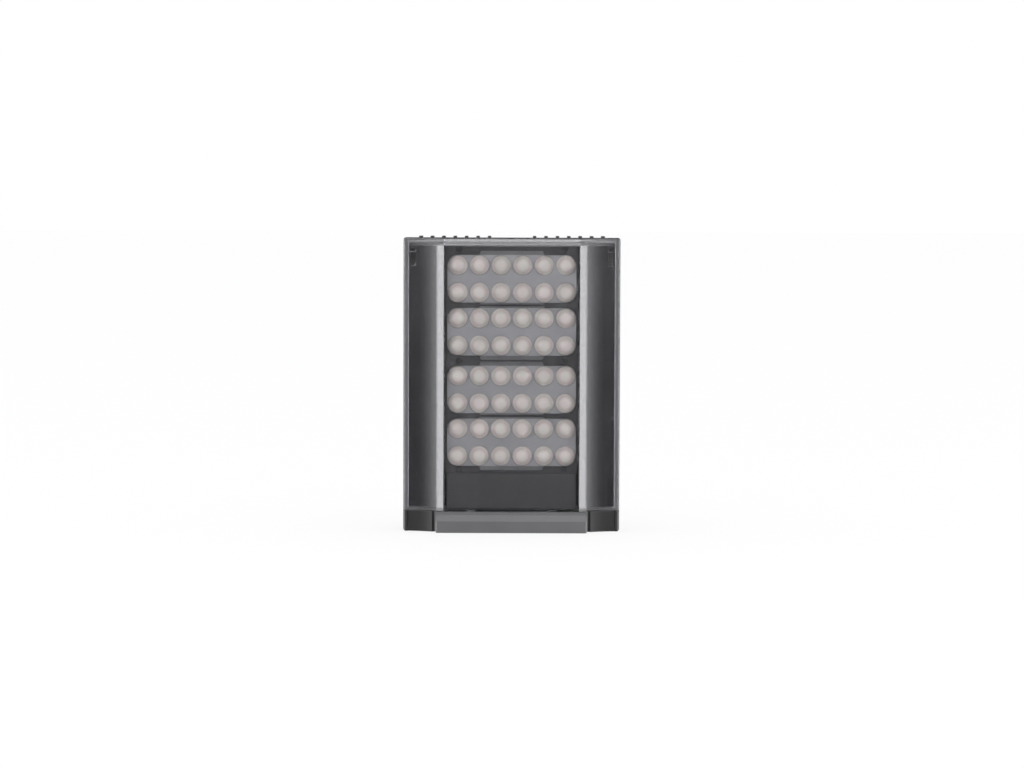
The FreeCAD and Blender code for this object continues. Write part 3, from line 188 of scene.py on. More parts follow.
def new_material(name, shown, **inputs):
    """A material whose shader has its own sockets set, as (material, tree, shader)."""
    material = bpy.data.materials.new(name)
    material.use_nodes = True
    material.diffuse_color = shown
    tree = material.node_tree
    shader = tree.nodes["Principled BSDF"]
    for word, value in inputs.items():
        feed(tree, shader.inputs[word.replace("_", " ")], value)
    return material, tree, shader


print("helpers for materials ready")

# %% [markdown]
# ## Shared effects
# Powder coat and moulded plastic both have a fine skin that breaks up a highlight. Both also
# carry slow changes of sheen over a hand's width. One group makes the skin, and every finish
# of the lamp uses it at its own scale, given in millimetres.

# %% Skin group: fine bumps and slow mottling
MM_IN_METRE = 1000
skin, ins, outs = group_of(
    "Skin", {"Grain Size": 0.6, "Cloud Size": 30.0}, ["Height", "Mottle"])
place = add(skin, "ShaderNodeTexCoord")
for size, detail, target in (("Grain Size", 2.0, "Height"), ("Cloud Size", 4.0, "Mottle")):
    scale = reckon(skin, "DIVIDE", MM_IN_METRE, ins.outputs[size])
    noise = add(skin, "ShaderNodeTexNoise", Vector=place.outputs["Object"], Scale=scale,
                Detail=detail)
    wire(skin, noise.outputs["Fac"], outs.inputs[target])
print("group:", skin.name, len(skin.nodes), "nodes")

# %% [markdown]
# Edges of a coated casting rub pale, because hands and tools reach them first. The Bevel node
# gives the normal that a rounded edge would have. Where it parts from the true normal there
# is an edge, and a noise breaks the pale line so that it doesn't look drawn.

# %% Edge wear group
wear, ins, outs = group_of("Edge wear", {"Reach": 0.0006, "Amount": 0.6}, ["Wear"])
rounded = add(wear, "ShaderNodeBevel", {"samples": 4}, Radius=ins.outputs["Reach"])
true = add(wear, "ShaderNodeNewGeometry")
meet = add(wear, "ShaderNodeVectorMath", {"operation": "DOT_PRODUCT"})
wire(wear, rounded.outputs["Normal"], meet.inputs[0])
wire(wear, true.outputs["Normal"], meet.inputs[1])
edge = add(wear, "ShaderNodeMapRange", Value=meet.outputs["Value"], From_Min=0.995, From_Max=0.86)
place = add(wear, "ShaderNodeTexCoord")
chips = add(wear, "ShaderNodeTexNoise", Vector=place.outputs["Object"], Scale=240.0, Detail=3.0)
broken = add(wear, "ShaderNodeMapRange", Value=chips.outputs["Fac"], From_Min=0.42, From_Max=0.68)
both = reckon(wear, "MULTIPLY", edge.outputs["Result"], broken.outputs["Result"])
wire(wear, reckon(wear, "MULTIPLY", both, ins.outputs["Amount"]), outs.inputs["Wear"])
print("group:", wear.name, len(wear.nodes), "nodes")

# %% [markdown]
# ## Solid finishes
# Each solid finish is one Principled shader. The skin group feeds its bump and shifts its
# roughness a little, the wear group mixes a paler colour in along the edges, and the rest is
# set on the shader's own sockets.


# %% Solid finish maker
SHEEN_SPREAD = 0.08
TINT_SPREAD = 0.15
WEAR_AMOUNT = 0.5


def soften(tree, reach, target):
    """Feed a normal input with the normals of edges that look rounded by a reach in mm."""
    rounded = add(tree, "ShaderNodeBevel", {"samples": 8}, Radius=reach * MM)
    wire(tree, rounded.outputs["Normal"], target)


def solid_finish(name, colour, rough, grain=0.6, bump=0.04, cloud=30.0, metal=0.0, coat=0.0,
                 worn=None, edge=0.5):
    """A coated, moulded or bare surface with a fine skin and, if asked, worn edges."""
    material, tree, shader = new_material(
        name, (*colour, 1), Metallic=metal, Coat_Weight=coat, Coat_Roughness=0.12)
    surface = use(tree, skin, Grain_Size=grain, Cloud_Size=cloud)
    mottle = surface.outputs["Mottle"]
    sheen = add(tree, "ShaderNodeMapRange", Value=mottle, To_Min=rough - SHEEN_SPREAD,
                To_Max=rough + SHEEN_SPREAD)
    wire(tree, sheen.outputs["Result"], shader.inputs["Roughness"])
    relief = add(tree, "ShaderNodeBump", Strength=bump, Distance=grain * MM,
                 Height=surface.outputs["Height"])
    if edge:
        soften(tree, edge, relief.inputs["Normal"])
    wire(tree, relief.outputs["Normal"], shader.inputs["Normal"])
    dark = (*[c * (1 - TINT_SPREAD) for c in colour], 1)
    light = (*[min(1, c * (1 + TINT_SPREAD)) for c in colour], 1)
    tint = mix(tree, mottle, dark, light)
    if worn:
        rubbed = use(tree, wear, Amount=WEAR_AMOUNT)
        tint = mix(tree, rubbed.outputs["Wear"], tint, (*worn, 1))
    wire(tree, tint, shader.inputs["Base Color"])
    return material


print("solid finish maker ready")

# %% Solid finishes
black_coat = solid_finish("Black powder coat", (0.032, 0.032, 0.035), 0.42, grain=0.9, bump=0.12,
                          worn=(0.11, 0.11, 0.115))
black_liner = solid_finish("Black satin liner", (0.017, 0.0165, 0.019), 0.24, grain=0.5, bump=0.02)
black_mask = solid_finish("Black mask", (0.024, 0.0235, 0.026), 0.5, grain=0.5, bump=0.05)
grey_sheet = solid_finish("Dark grey panel", (0.023, 0.023, 0.025), 0.5, grain=0.5, bump=0.05)
black_hard = solid_finish("Black nylon", (0.028, 0.028, 0.03), 0.45, grain=0.8, bump=0.08)
black_soft = solid_finish("Black seal rubber", (0.02, 0.02, 0.02), 0.7, grain=0.7, bump=0.08)
grey_soft = solid_finish("Grey silicone", (0.55, 0.55, 0.55), 0.6, grain=0.7, bump=0.05)
zinc_steel = solid_finish("Zinc-plated steel", (0.55, 0.55, 0.53), 0.28, grain=1.5, bump=0.03,
                          metal=1.0, cloud=6.0)
print("last solid finish:", zinc_steel.name)

# %% [markdown]
# The chin is one moulding with two looks. Its raised front is grey and satin, and the scooped
# wings beside it are painted darker, as painted shade for the dimmer reflections the wings give.
# A mask by the distance from the middle line parts the two.

# %% Chin finish
CHIN_FRONT = 76.6 * MM
WING_PAINTED_SHADE = (0.02, 0.02, 0.021, 1)
grey_chin = solid_finish("Dark grey chin", (0.125, 0.125, 0.13), 0.34, grain=0.7, bump=0.03,
                         coat=0.6)
tree = grey_chin.node_tree
base = tree.nodes["Principled BSDF"].inputs["Base Color"]
place = add(tree, "ShaderNodeTexCoord")
apart = add(tree, "ShaderNodeSeparateXYZ", Vector=place.outputs["Object"])
beside = reckon(tree, "ABSOLUTE", apart.outputs["X"])
# Painted shade: the wings beyond the raised front get a darker colour for their dimmer reflections
on_shaded_wing = reckon(tree, "GREATER_THAN", beside, CHIN_FRONT)
wire(tree, mix(tree, on_shaded_wing, base.links[0].from_socket, WING_PAINTED_SHADE), base)
print("finish:", grey_chin.name, len(tree.nodes), "nodes")

# %% [markdown]
# ## Clear finish
# The cover is a clear moulding. Cycles bends light through it as real plastic does, but a
# lamp's light can't be sampled through bent glass. For shadow rays the material is swapped
# for plain see-through, so what lies behind the cover is lit cleanly.

# %% Clear cover finish
COVER_COLOUR = (0.93, 0.93, 0.94)
COVER_HAZE = 0.03
clear_cover, tree, shader = new_material(
    "Clear cover", (*COVER_COLOUR, 0.3), Base_Color=(*COVER_COLOUR, 1), IOR=1.585,
    Transmission_Weight=1.0)
surface = use(tree, skin, Grain_Size=2.5, Cloud_Size=60.0)
haze = add(tree, "ShaderNodeMapRange", Value=surface.outputs["Mottle"],
           To_Min=COVER_HAZE * 0.6, To_Max=COVER_HAZE * 1.5)
wire(tree, haze.outputs["Result"], shader.inputs["Roughness"])
soften(tree, 0.8, shader.inputs["Normal"])
open_way = add(tree, "ShaderNodeBsdfTransparent", Color=(0.9, 0.9, 0.9, 1))
path = add(tree, "ShaderNodeLightPath")
choose(tree, path.outputs["Is Shadow Ray"], shader, open_way, "Material Output")
print("finish:", clear_cover.name, len(tree.nodes), "nodes")

# %% [markdown]
# ## Where the repeated parts are
# Lenses and screws repeat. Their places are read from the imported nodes, so a piece that is
# added here always sits on the part that carries it.


# %% Places of the solids in a node
def solids_of(name):
    """The box of each separate solid in a node, as pairs of corners."""
    shape = bmesh.new()
    shape.from_mesh(nodes[name].data)
    bmesh.ops.remove_doubles(shape, verts=shape.verts, dist=0.02 * MM)
    left = set(shape.verts)
    boxes = []
    while left:
        first = left.pop()
        found, waiting = [first], [first]
        while waiting:
            for link in waiting.pop().link_edges:
                for other in left.intersection(link.verts):
                    left.remove(other)
                    found.append(other)
                    waiting.append(other)
        low = Vector([min(v.co[k] for v in found) for k in range(3)])
        high = Vector([max(v.co[k] for v in found) for k in range(3)])
        boxes.append((low, high))
    shape.free()
    return sorted(boxes, key=lambda pair: (round(pair[0].z, 4), round(pair[0].x, 4)))


lens_places = {n: [(low + high) / 2 for low, high in solids_of(f"emitters_{n}")] for n in MODULES}
lens_rows = {n: sorted({round(p.z, 5) for p in found}) for n, found in lens_places.items()}
print("lenses:", {n: len(found) for n, found in lens_places.items()}, "rows:", lens_rows)

# %% [markdown]
# The lens modules are milky. They are one moulding each, and three zones of it differ. The
# domes are the palest and lean to pink or to a yellowish grey from place to place. The plate
# between them is a cooler grey, and the tabs, which have nothing bright behind them, are
# painted dark as painted shade.
# A group tells the zones apart by where a point lies in the imported model. It also tells how
# far a point is from the middle of its lens, as a share of the lens's radius.

# %% Lens zones group
PLATE_FACE = FRONT_Y + 12.0 * MM
DOME_START = 1.2 * MM
LENS_PITCH = 21.4 * MM
DOME_RADIUS = 10.2 * MM
BOARD_MARGIN = 0.7 * MM
FAR_AWAY = 1.0
zones, ins, outs = group_of("Lens zones", {}, ["Dome", "Tab", "Off Centre"])
place = add(zones, "ShaderNodeTexCoord")
apart = add(zones, "ShaderNodeSeparateXYZ", Vector=place.outputs["Object"])
across, deep, up = apart.outputs
raised = add(zones, "ShaderNodeMapRange", {"interpolation_type": "SMOOTHSTEP"}, Value=deep,
             From_Min=PLATE_FACE + 0.1 * MM, From_Max=PLATE_FACE - DOME_START)
wire(zones, raised.outputs["Result"], outs.inputs["Dome"])

on_plates, off_row = 0, FAR_AWAY
for n, (lower, upper) in lens_rows.items():
    low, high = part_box(f"light_board_{n}")
    within = reckon(zones, "COMPARE", up, (low.z + high.z) / 2,
                    (high.z - low.z) / 2 + BOARD_MARGIN)
    on_plates = reckon(zones, "ADD", on_plates, within)
    off_middle = reckon(zones, "ABSOLUTE", reckon(zones, "SUBTRACT", up, (lower + upper) / 2))
    off_this = reckon(zones, "ABSOLUTE", reckon(zones, "SUBTRACT", off_middle, (upper - lower) / 2))
    off_row = reckon(zones, "MINIMUM", off_row, off_this)
wire(zones, reckon(zones, "SUBTRACT", 1, on_plates), outs.inputs["Tab"])

folded = reckon(zones, "PINGPONG", across, LENS_PITCH / 2)
off_column = reckon(zones, "SUBTRACT", LENS_PITCH / 2, folded)
spot = add(zones, "ShaderNodeCombineXYZ", X=off_column, Y=off_row)
reach = add(zones, "ShaderNodeVectorMath", {"operation": "LENGTH"}, Vector=spot.outputs[0])
share = reckon(zones, "DIVIDE", reach.outputs["Value"], DOME_RADIUS)
wire(zones, share, outs.inputs["Off Centre"])
print("group:", zones.name, len(zones.nodes), "nodes")

# %% [markdown]
# Rings of darker and paler colour run round each lens's middle, partly as the optic behind the
# dome shows through it and partly as painted light: the bright middle is a painted highlight and
# the dark outer edge is painted shade. They are multiplied on the two blushes of the domes.

# %% Milky lens finish
# Share of the lens's radius and the level there, with a painted highlight in the middle and painted
# shade at the edge
DOME_RINGS_AND_SHADING = [(0.0, 1.2), (0.22, 1.14), (0.45, 1.0), (0.6, 0.86), (0.72, 0.74), (0.86, 1.04),
              (0.95, 0.8), (1.0, 0.62)]
RING_WARMTH = 0.985
# Value of the noise and the colour there
BLUSHES = [(0.38, 0.74, 0.66, 0.64), (0.62, 0.7, 0.675, 0.62)]
PLATE_GREY = (0.32, 0.32, 0.335, 1)
# Painted shade: the tabs are darkened because nothing bright lies behind them
TAB_PAINTED_SHADE = (0.1, 0.1, 0.107, 1)
milky_lens, tree, shader = new_material(
    "Milky lens plastic", (0.5, 0.46, 0.45, 1), IOR=1.49, Roughness=0.3,
    Transmission_Weight=0.3, Coat_Weight=1.0, Coat_Roughness=0.22)
zone = use(tree, zones)
blotch = use(tree, skin, Grain_Size=9.0, Cloud_Size=40.0)
blush = ramp(tree, blotch.outputs["Height"], BLUSHES)
ring_and_shading_colours = [(at, level, level * RING_WARMTH, level * RING_WARMTH) for at, level in DOME_RINGS_AND_SHADING]
# Rings of the optic, with a painted highlight in the middle and painted shade at the outer edge
rings = ramp(tree, zone.outputs["Off Centre"], ring_and_shading_colours, "B_SPLINE")
dome = mix(tree, 1.0, blush, rings, "MULTIPLY")
flat = mix(tree, zone.outputs["Tab"], PLATE_GREY, TAB_PAINTED_SHADE)
wire(tree, mix(tree, zone.outputs["Dome"], flat, dome), shader.inputs["Base Color"])
soften(tree, 0.5, shader.inputs["Coat Normal"])
print("finish:", milky_lens.name, len(tree.nodes), "nodes")

# %% Board, pad and emitter finishes
board_white = solid_finish("White board face", (0.6, 0.6, 0.6), 0.5, grain=0.4, bump=0.03)
pad_grey = solid_finish("Grey thermal pad", (0.4, 0.4, 0.44), 0.8, grain=0.8, bump=0.1)
emitter_dark = solid_finish("Dark emitter", (0.06, 0.04, 0.035), 0.25, grain=0.4, bump=0.02,
                            coat=0.5)
board_green = solid_finish("Green circuit board", (0.02, 0.13, 0.05), 0.35, grain=0.5, bump=0.03)
block_green = solid_finish("Green terminal block", (0.04, 0.28, 0.1), 0.4, grain=0.6, bump=0.03)
can_blue = solid_finish("Capacitor sleeve", (0.03, 0.035, 0.06), 0.3, grain=0.6, bump=0.02)
print("last inner finish:", can_blue.name)

# %% [markdown]
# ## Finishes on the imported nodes
# Each CAD node keeps its shape and gets one of the finishes. A node's mesh is never touched,
# only its material slots.

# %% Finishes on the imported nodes
FINISHES = {
    clear_cover: ["front_cover"],
    milky_lens: [f"lens_module_{n}" for n in MODULES],
    black_liner: ["inner_bezel"],
    black_mask: ["lens_mask", "mask_screws"],
    grey_sheet: ["lower_panel"],
    grey_chin: ["bottom_trim"],
    black_coat: ["heatsink_housing", "bracket_foot", "wall_arm"],
    black_hard: ["pressure_vent", "gland_body", "gland_nut", "driver_inductor"],
    black_soft: ["gland_seal"],
    grey_soft: ["cover_gasket"],
    board_white: [f"light_board_{n}" for n in MODULES],
    pad_grey: [f"thermal_pad_{n}" for n in MODULES],
    emitter_dark: [f"emitters_{n}" for n in MODULES],
    board_green: ["driver_board"],
    block_green: ["terminal_block"],
    can_blue: ["driver_capacitors"],
    zinc_steel: ["bezel_screws", "trim_screws", "board_screws", "driver_screws", "foot_screws",
                 "tilt_bolt", "tilt_nut", "tilt_washers"],
}
for material, names in FINISHES.items():
    for name in names:
        slots = nodes[name].data.materials
        slots.clear()
        slots.append(material)
finished = sum(len(names) for names in FINISHES.values())
print("finished nodes:", finished, "of", len(nodes))

# %% [markdown]
# ## Geometry Nodes helpers
# A repeat is a tree: points go in, one master shape is set on each point, the instances are
# made real and the finish is set. The result is turned into a plain mesh, because the export
# keeps meshes and drops instances.


# %% Helpers for geometry trees
def geometry_tree(name, inputs):
    """An empty geometry tree with named inputs, given as name: (socket type, value)."""
    tree = bpy.data.node_groups.new(name, "GeometryNodeTree")
    tree.interface.new_socket("Geometry", in_out="INPUT", socket_type="NodeSocketGeometry")
    for word, (kind, value) in inputs.items():
        socket = tree.interface.new_socket(word, in_out="INPUT", socket_type=f"NodeSocket{kind}")
        if value is not None:
            socket.default_value = value
    tree.interface.new_socket("Geometry", in_out="OUTPUT", socket_type="NodeSocketGeometry")
    return tree, tree.nodes.new("NodeGroupInput"), tree.nodes.new("NodeGroupOutput")


def point_cloud(places):
    """A mesh of loose points."""
    mesh = bpy.data.meshes.new("points")
    mesh.from_pydata([tuple(place) for place in places], [], [])
    return mesh


def run_tree(name, mesh, tree, material, values):
    """The plain mesh object that a geometry tree makes from a mesh."""
    carrier = bpy.data.objects.new("carrier", mesh)
    bpy.context.scene.collection.objects.link(carrier)
    modifier = carrier.modifiers.new("Tree", "NODES")
    modifier.node_group = tree
    values = {"Finish": material, **values}
    for item in tree.interface.items_tree:
        if item.in_out == "INPUT" and item.name in values:
            modifier[item.identifier] = values[item.name]
    sight = bpy.context.evaluated_depsgraph_get()
    made = bpy.data.meshes.new_from_object(carrier.evaluated_get(sight))
    bpy.data.objects.remove(carrier)
    made.name = name
    made.materials.clear()
    made.materials.append(material)
    return bpy.data.objects.new(name, made)


print("helpers for geometry trees ready")


# %% Where a finished piece goes
def settle(piece, body, slot, *replaced):
    """Show a finished piece on its body, and hide the nodes that it stands in for."""
    bpy.context.scene.collection.objects.link(piece)
    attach(piece, body)
    if replaced:
        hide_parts(*replaced)
    print(piece.name, "on", body, "faces:", len(piece.data.polygons))


# %% Turned shapes
def band(ring, following, step):
    """One face between two rings of a turned shape, a triangle where a ring is a point."""
    after = (step + 1) % max(len(ring), len(following))
    if len(ring) == 1:
        return ring[0], following[step], following[after]
    if len(following) == 1:
        return ring[step], following[0], ring[after]
    return ring[step], following[step], following[after], ring[after]


def turned_shape(name, profile, segments):
    """A closed shape turned about its own Z, from a closed profile of (radius, height) in mm."""
    shape = bmesh.new()
    rings = []
    for radius, high in profile:
        ring = []
        for step in range(segments if radius > 0 else 1):
            angle = math.tau * step / segments
            spot = (radius * MM * math.cos(angle), radius * MM * math.sin(angle), high * MM)
            ring.append(shape.verts.new(spot))
        rings.append(ring)
    for ring, following in zip(rings, rings[1:] + rings[:1]):
        if len(ring) > 1 or len(following) > 1:
            for step in range(segments):
                shape.faces.new(band(ring, following, step))
    bmesh.ops.recalc_face_normals(shape, faces=shape.faces)
    mesh = bpy.data.meshes.new(name)
    shape.to_mesh(mesh)
    shape.free()
    return mesh


print("turned shapes ready")

# %% [markdown]
# ## One tree for everything that repeats
# The same tree sets out cups and screws. It takes a master shape, turns it to face the right
# way, rolls each copy a little about its own line, stores a random number on it for the
# finish, and shades it smooth except at real corners.


# %% Ends of geometry trees
def smoothed(tree, source):
    """Smooth shading, with the edges kept sharp that turn more than 35 degrees."""
    smooth = add(tree, "GeometryNodeSetShadeSmooth", Geometry=source)
    corner = add(tree, "GeometryNodeInputMeshEdgeAngle")
    keen = reckon(tree, "GREATER_THAN", corner.outputs["Unsigned Angle"], math.radians(35))
    sharp = add(tree, "GeometryNodeSetShadeSmooth", {"domain": "EDGE"},
                Geometry=smooth.outputs[0], Selection=keen, Shade_Smooth=False)
    return sharp.outputs[0]


def finished_with(tree, source, ins, outs):
    """The end of a tree: real geometry with its finish."""
    real = add(tree, "GeometryNodeRealizeInstances", Geometry=source)
    coat = add(tree, "GeometryNodeSetMaterial", Geometry=smoothed(tree, real.outputs[0]),
               Material=ins.outputs["Finish"])
    wire(tree, coat.outputs[0], outs.inputs[0])
    print("tree:", tree.name, len(tree.nodes), "nodes")


def carve(tree, operation, whole, tools):
    """What is left of a shape when tools are taken away, or what it shares with them."""
    node = add(tree, "GeometryNodeMeshBoolean", {"operation": operation, "solver": "EXACT"})
    wire(tree, whole, node.inputs["Mesh 1" if operation == "DIFFERENCE" else "Mesh 2"])
    for tool in tools:
        wire(tree, tool, node.inputs["Mesh 2"])
    return node.outputs["Mesh"]


print("ends of geometry trees ready")

# %% Tree that sets a part on every point
parts_tree, ins, outs = geometry_tree("Parts on points", {
    "Part": ("Object", None), "Finish": ("Material", None), "Facing": ("Vector", None),
    "Roll": ("Float", 0.0), "Seed": ("Int", 4)})
part = add(parts_tree, "GeometryNodeObjectInfo", Object=ins.outputs["Part"])
facing = add(parts_tree, "FunctionNodeEulerToRotation", Euler=ins.outputs["Facing"])
on_points = add(parts_tree, "GeometryNodeInstanceOnPoints", Points=ins.outputs["Geometry"],
                Instance=part.outputs["Geometry"], Rotation=facing.outputs[0])
roll = add(parts_tree, "FunctionNodeRandomValue", Max=ins.outputs["Roll"],
           Seed=ins.outputs["Seed"])
spin = add(parts_tree, "ShaderNodeCombineXYZ", Z=roll.outputs["Value"])
rolled = add(parts_tree, "GeometryNodeRotateInstances", Instances=on_points.outputs[0],
             Rotation=spin.outputs[0])
chance = add(parts_tree, "FunctionNodeRandomValue", Seed=ins.outputs["Seed"])
store = add(parts_tree, "GeometryNodeStoreNamedAttribute", {"domain": "INSTANCE"}, Name="tint",
            Geometry=rolled.outputs[0], Value=chance.outputs["Value"])
finished_with(parts_tree, store.outputs[0], ins, outs)

# %% [markdown]
# ## Collimating cups
# Behind each lens a cone of acrylic gathers the emitter's light by reflection inside its wall.
# Seen through the milky dome such a cone looks pale and silky, with the emitter as a dark dot
# at its bottom. It is turned once and set under every lens, each with its own slight tint.

# %% One cup, turned about the lens's line
# Depth of the cup's mouth behind the front, and (radius, height) round its section
CUP_TOP = 14.7
CUP_PROFILE = [(9.6, 0), (9.5, -0.6), (7.9, -4.5), (5.6, -8.2), (3.3, -11.3), (2.75, -11.3),
               (5.0, -8.2), (7.3, -4.5), (8.9, -0.9), (8.9, 0)]
FRONT_FACING = (math.pi / 2, 0, 0)
REAR_FACING = (-math.pi / 2, 0, 0)
cup_master = bpy.data.objects.new("cup_master", turned_shape("cup", CUP_PROFILE, 40))
print("cup faces:", len(cup_master.data.polygons))

# %% Cup finish and cups
CUP_TINTS = [(0.0, 0.86, 0.74, 0.71), (1.0, 0.80, 0.80, 0.72)]
cup_finish = solid_finish("Satin optic cup", (0.8, 0.76, 0.73), 0.35, grain=0.5, bump=0.02,
                          edge=0)
tree = cup_finish.node_tree
own = add(tree, "ShaderNodeAttribute", {"attribute_name": "tint"})
wire(tree, ramp(tree, own.outputs["Fac"], CUP_TINTS),
     tree.nodes["Principled BSDF"].inputs["Base Color"])

for n, places in lens_places.items():
    points = [(place.x, FRONT_Y + CUP_TOP * MM, place.z) for place in places]
    cups = run_tree(f"optic_cups_{n}", point_cloud(points), parts_tree, cup_finish,
                    {"Part": cup_master, "Facing": FRONT_FACING, "Seed": n})
    settle(cups, "lamp", "lens_plastic")

# %% [markdown]
# ## A grey sheet in the cover's rim
# The cover's rim is a solid clear bar, so one would look through it onto the black casting. The
# rim looks grey from the side light that comes through the clear bar. A thin grey ring just inside
# the face that meets the gasket paints that light in, and the clear bar in front stays clear.

# %% Grey ring that paints in the rim's light
RING_INSETS = (0.2 * MM, 4.2 * MM)
RING_THIN = 0.15 * MM
RING_CUT = 2 * MM
# Painted light: a grey sheet stands in for the side light seen through the clear rim
rim_light_finish = solid_finish("Rim light sheet", (0.14, 0.14, 0.148), 0.55, grain=0.5, bump=0.03, edge=0)
low, high = solids_of("cover_gasket")[0]
shape = bmesh.new()
rings = []
for y in (low.y - 2 * RING_THIN, low.y - RING_THIN):
    for inset in RING_INSETS:
        left, right = low.x + inset, high.x - inset
        under, over = low.z + inset, high.z - inset
        corners = [(left + RING_CUT, under), (right - RING_CUT, under), (right, under + RING_CUT),
                   (right, over - RING_CUT), (right - RING_CUT, over), (left + RING_CUT, over),
                   (left, over - RING_CUT), (left, under + RING_CUT)]
        rings.append([shape.verts.new((x, y, z)) for x, z in corners])
front_outer, front_inner, rear_outer, rear_inner = rings
around = [front_outer, front_inner, rear_inner, rear_outer]
for ring, following in zip(around, around[1:] + around[:1]):
    for step in range(len(ring)):
        shape.faces.new(band(ring, following, step))
bmesh.ops.recalc_face_normals(shape, faces=shape.faces)
ring_mesh = bpy.data.meshes.new("rim_matt_face")
shape.to_mesh(ring_mesh)
shape.free()
ring_mesh.materials.append(rim_light_finish)
settle(bpy.data.objects.new("rim_matt_face", ring_mesh), "lamp", "clear_cover")

# %% [markdown]
# ## Screws with a recess
# CAD leaves the screws plain. The small heads are discs there, and they become low domes with
# a cross cut into them. The cap screws of the bracket get chamfers and a hexagon socket. The
# cutting shapes are taken away with a Mesh Boolean inside the tree.

# %% Trees that cut a cross or sink a socket into a head
cross_tree, ins, outs = geometry_tree("Cross recess", {
    "Reach": ("Float", 0.004), "Width": ("Float", 0.001), "Depth": ("Float", 0.0015)})
twice = reckon(cross_tree, "MULTIPLY", ins.outputs["Depth"], 2)
arms = []
for first, second in (("Reach", "Width"), ("Width", "Reach")):
    size = add(cross_tree, "ShaderNodeCombineXYZ", X=ins.outputs[first], Y=ins.outputs[second],
               Z=twice)
    arm = add(cross_tree, "GeometryNodeMeshCube", Size=size.outputs[0])
    arms.append(arm.outputs["Mesh"])
wire(cross_tree, carve(cross_tree, "DIFFERENCE", ins.outputs["Geometry"], arms), outs.inputs[0])
print("tree:", cross_tree.name, len(cross_tree.nodes), "nodes")

socket_tree, ins, outs = geometry_tree("Hexagon socket", {
    "Corner": ("Float", 0.002), "Depth": ("Float", 0.002)})
key = add(socket_tree, "GeometryNodeMeshCylinder", Vertices=6, Radius=ins.outputs["Corner"],
          Depth=reckon(socket_tree, "MULTIPLY", ins.outputs["Depth"], 2))
sunk = carve(socket_tree, "DIFFERENCE", ins.outputs["Geometry"], [key.outputs["Mesh"]])
wire(socket_tree, sunk, outs.inputs[0])
print("tree:", socket_tree.name, len(socket_tree.nodes), "nodes")


# %% Screws of each kind
TIP_CHAMFER = 0.5


def shank_profile(shank, high, long):
    """The lower half of a screw's profile, from under its head to its chamfered end."""
    return [(shank, -high), (shank, -long + TIP_CHAMFER), (shank - TIP_CHAMFER, -long), (0, -long)]


def cross_screw(name, head, high, shank, long):
    """A master screw with its head's top at zero: a low dome with a cross."""
    dome = [(0, 0), (head * 0.45, -high * 0.03), (head * 0.75, -high * 0.12),
            (head * 0.93, -high * 0.32), (head, -high * 0.6), (head, -high)]
    mesh = turned_shape(name, dome + shank_profile(shank, high, long), 32)
    return run_tree(name, mesh, cross_tree, zinc_steel, {
        "Reach": head * 1.15 * MM, "Width": head * 0.26 * MM, "Depth": high * 0.5 * MM})


def socket_screw(name, head, high, shank, long):
    """A master cap screw with a hexagon socket in its head."""
    cap = [(0, 0), (head - TIP_CHAMFER, 0), (head, -TIP_CHAMFER), (head, -high)]
    mesh = turned_shape(name, cap + shank_profile(shank, high, long), 32)
    return run_tree(name, mesh, socket_tree, zinc_steel, {
        "Corner": head * 0.5 * MM, "Depth": high * 0.5 * MM})


def screws_in_place(name, maker, sizes, facing, finish, slot, seed):
    """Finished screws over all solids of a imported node, which they stand in for."""
    boxes = solids_of(name)
    near, far = boxes[0]
    head = (far.x - near.x) / MM / 2
    master = maker(f"{name}_master", head, *sizes, (far.y - near.y) / MM)
    in_front = facing == FRONT_FACING
    points = [((a.x + b.x) / 2, a.y if in_front else b.y, (a.z + b.z) / 2) for a, b in boxes]
    screws = run_tree(f"{name}_finished", point_cloud(points), parts_tree, finish, {
        "Part": master, "Facing": facing, "Roll": math.tau, "Seed": seed})
    settle(screws, "lamp", slot, name)


print("screw makers ready")

# %% Screws in place of the plain ones
# Height of the head and radius of the shank, in millimetres
LARGE = (2.6, 2.0)
SMALL = (1.8, 1.5)
CAP = (5.0, 2.5)
FIRST_SEED = 11
SCREWS = [
    ("bezel_screws", cross_screw, LARGE, REAR_FACING, zinc_steel, "steel"),
    ("trim_screws", cross_screw, LARGE, REAR_FACING, zinc_steel, "steel"),
    ("mask_screws", cross_screw, SMALL, FRONT_FACING, black_mask, "black_screw"),
    ("board_screws", cross_screw, SMALL, FRONT_FACING, zinc_steel, "steel"),
    ("driver_screws", cross_screw, SMALL, FRONT_FACING, zinc_steel, "steel"),
    ("foot_screws", socket_screw, CAP, REAR_FACING, zinc_steel, "steel"),
]
for seed, screw in enumerate(SCREWS, FIRST_SEED):
    screws_in_place(*screw, seed)

# %% [markdown]
# ## Ribs on the gland's nut and on the breather's cap
# Both are tightened by hand, so both are ribbed all round. Each rib stands on a circle and is
# turned to face outwards. The ring of ribs is then laid along the part's own line.

# %% Tree that sets ribs round an axis
ribs_tree, ins, outs = geometry_tree("Ribs round an axis", {
    "Rib": ("Object", None), "Finish": ("Material", None), "Count": ("Int", 24),
    "Radius": ("Float", 0.01), "Facing": ("Vector", None), "Place": ("Vector", None)})
ring = add(ribs_tree, "GeometryNodeMeshCircle", Vertices=ins.outputs["Count"],
           Radius=ins.outputs["Radius"])
spoke = add(ribs_tree, "GeometryNodeInputPosition")
outward = add(ribs_tree, "FunctionNodeAlignRotationToVector", {"axis": "X", "pivot_axis": "Z"},
              Vector=spoke.outputs[0])
rib = add(ribs_tree, "GeometryNodeObjectInfo", Object=ins.outputs["Rib"])
on_ring = add(ribs_tree, "GeometryNodeInstanceOnPoints", Points=ring.outputs[0],
              Instance=rib.outputs["Geometry"], Rotation=outward.outputs[0])
facing = add(ribs_tree, "FunctionNodeEulerToRotation", Euler=ins.outputs["Facing"])
laid = add(ribs_tree, "GeometryNodeTransform", Geometry=on_ring.outputs[0],
           Rotation=facing.outputs[0], Translation=ins.outputs["Place"])
finished_with(ribs_tree, laid.outputs[0], ins, outs)

# %% Ribs on both parts
RIB_HALF = 0.6
RIB_ROUND = 0.5


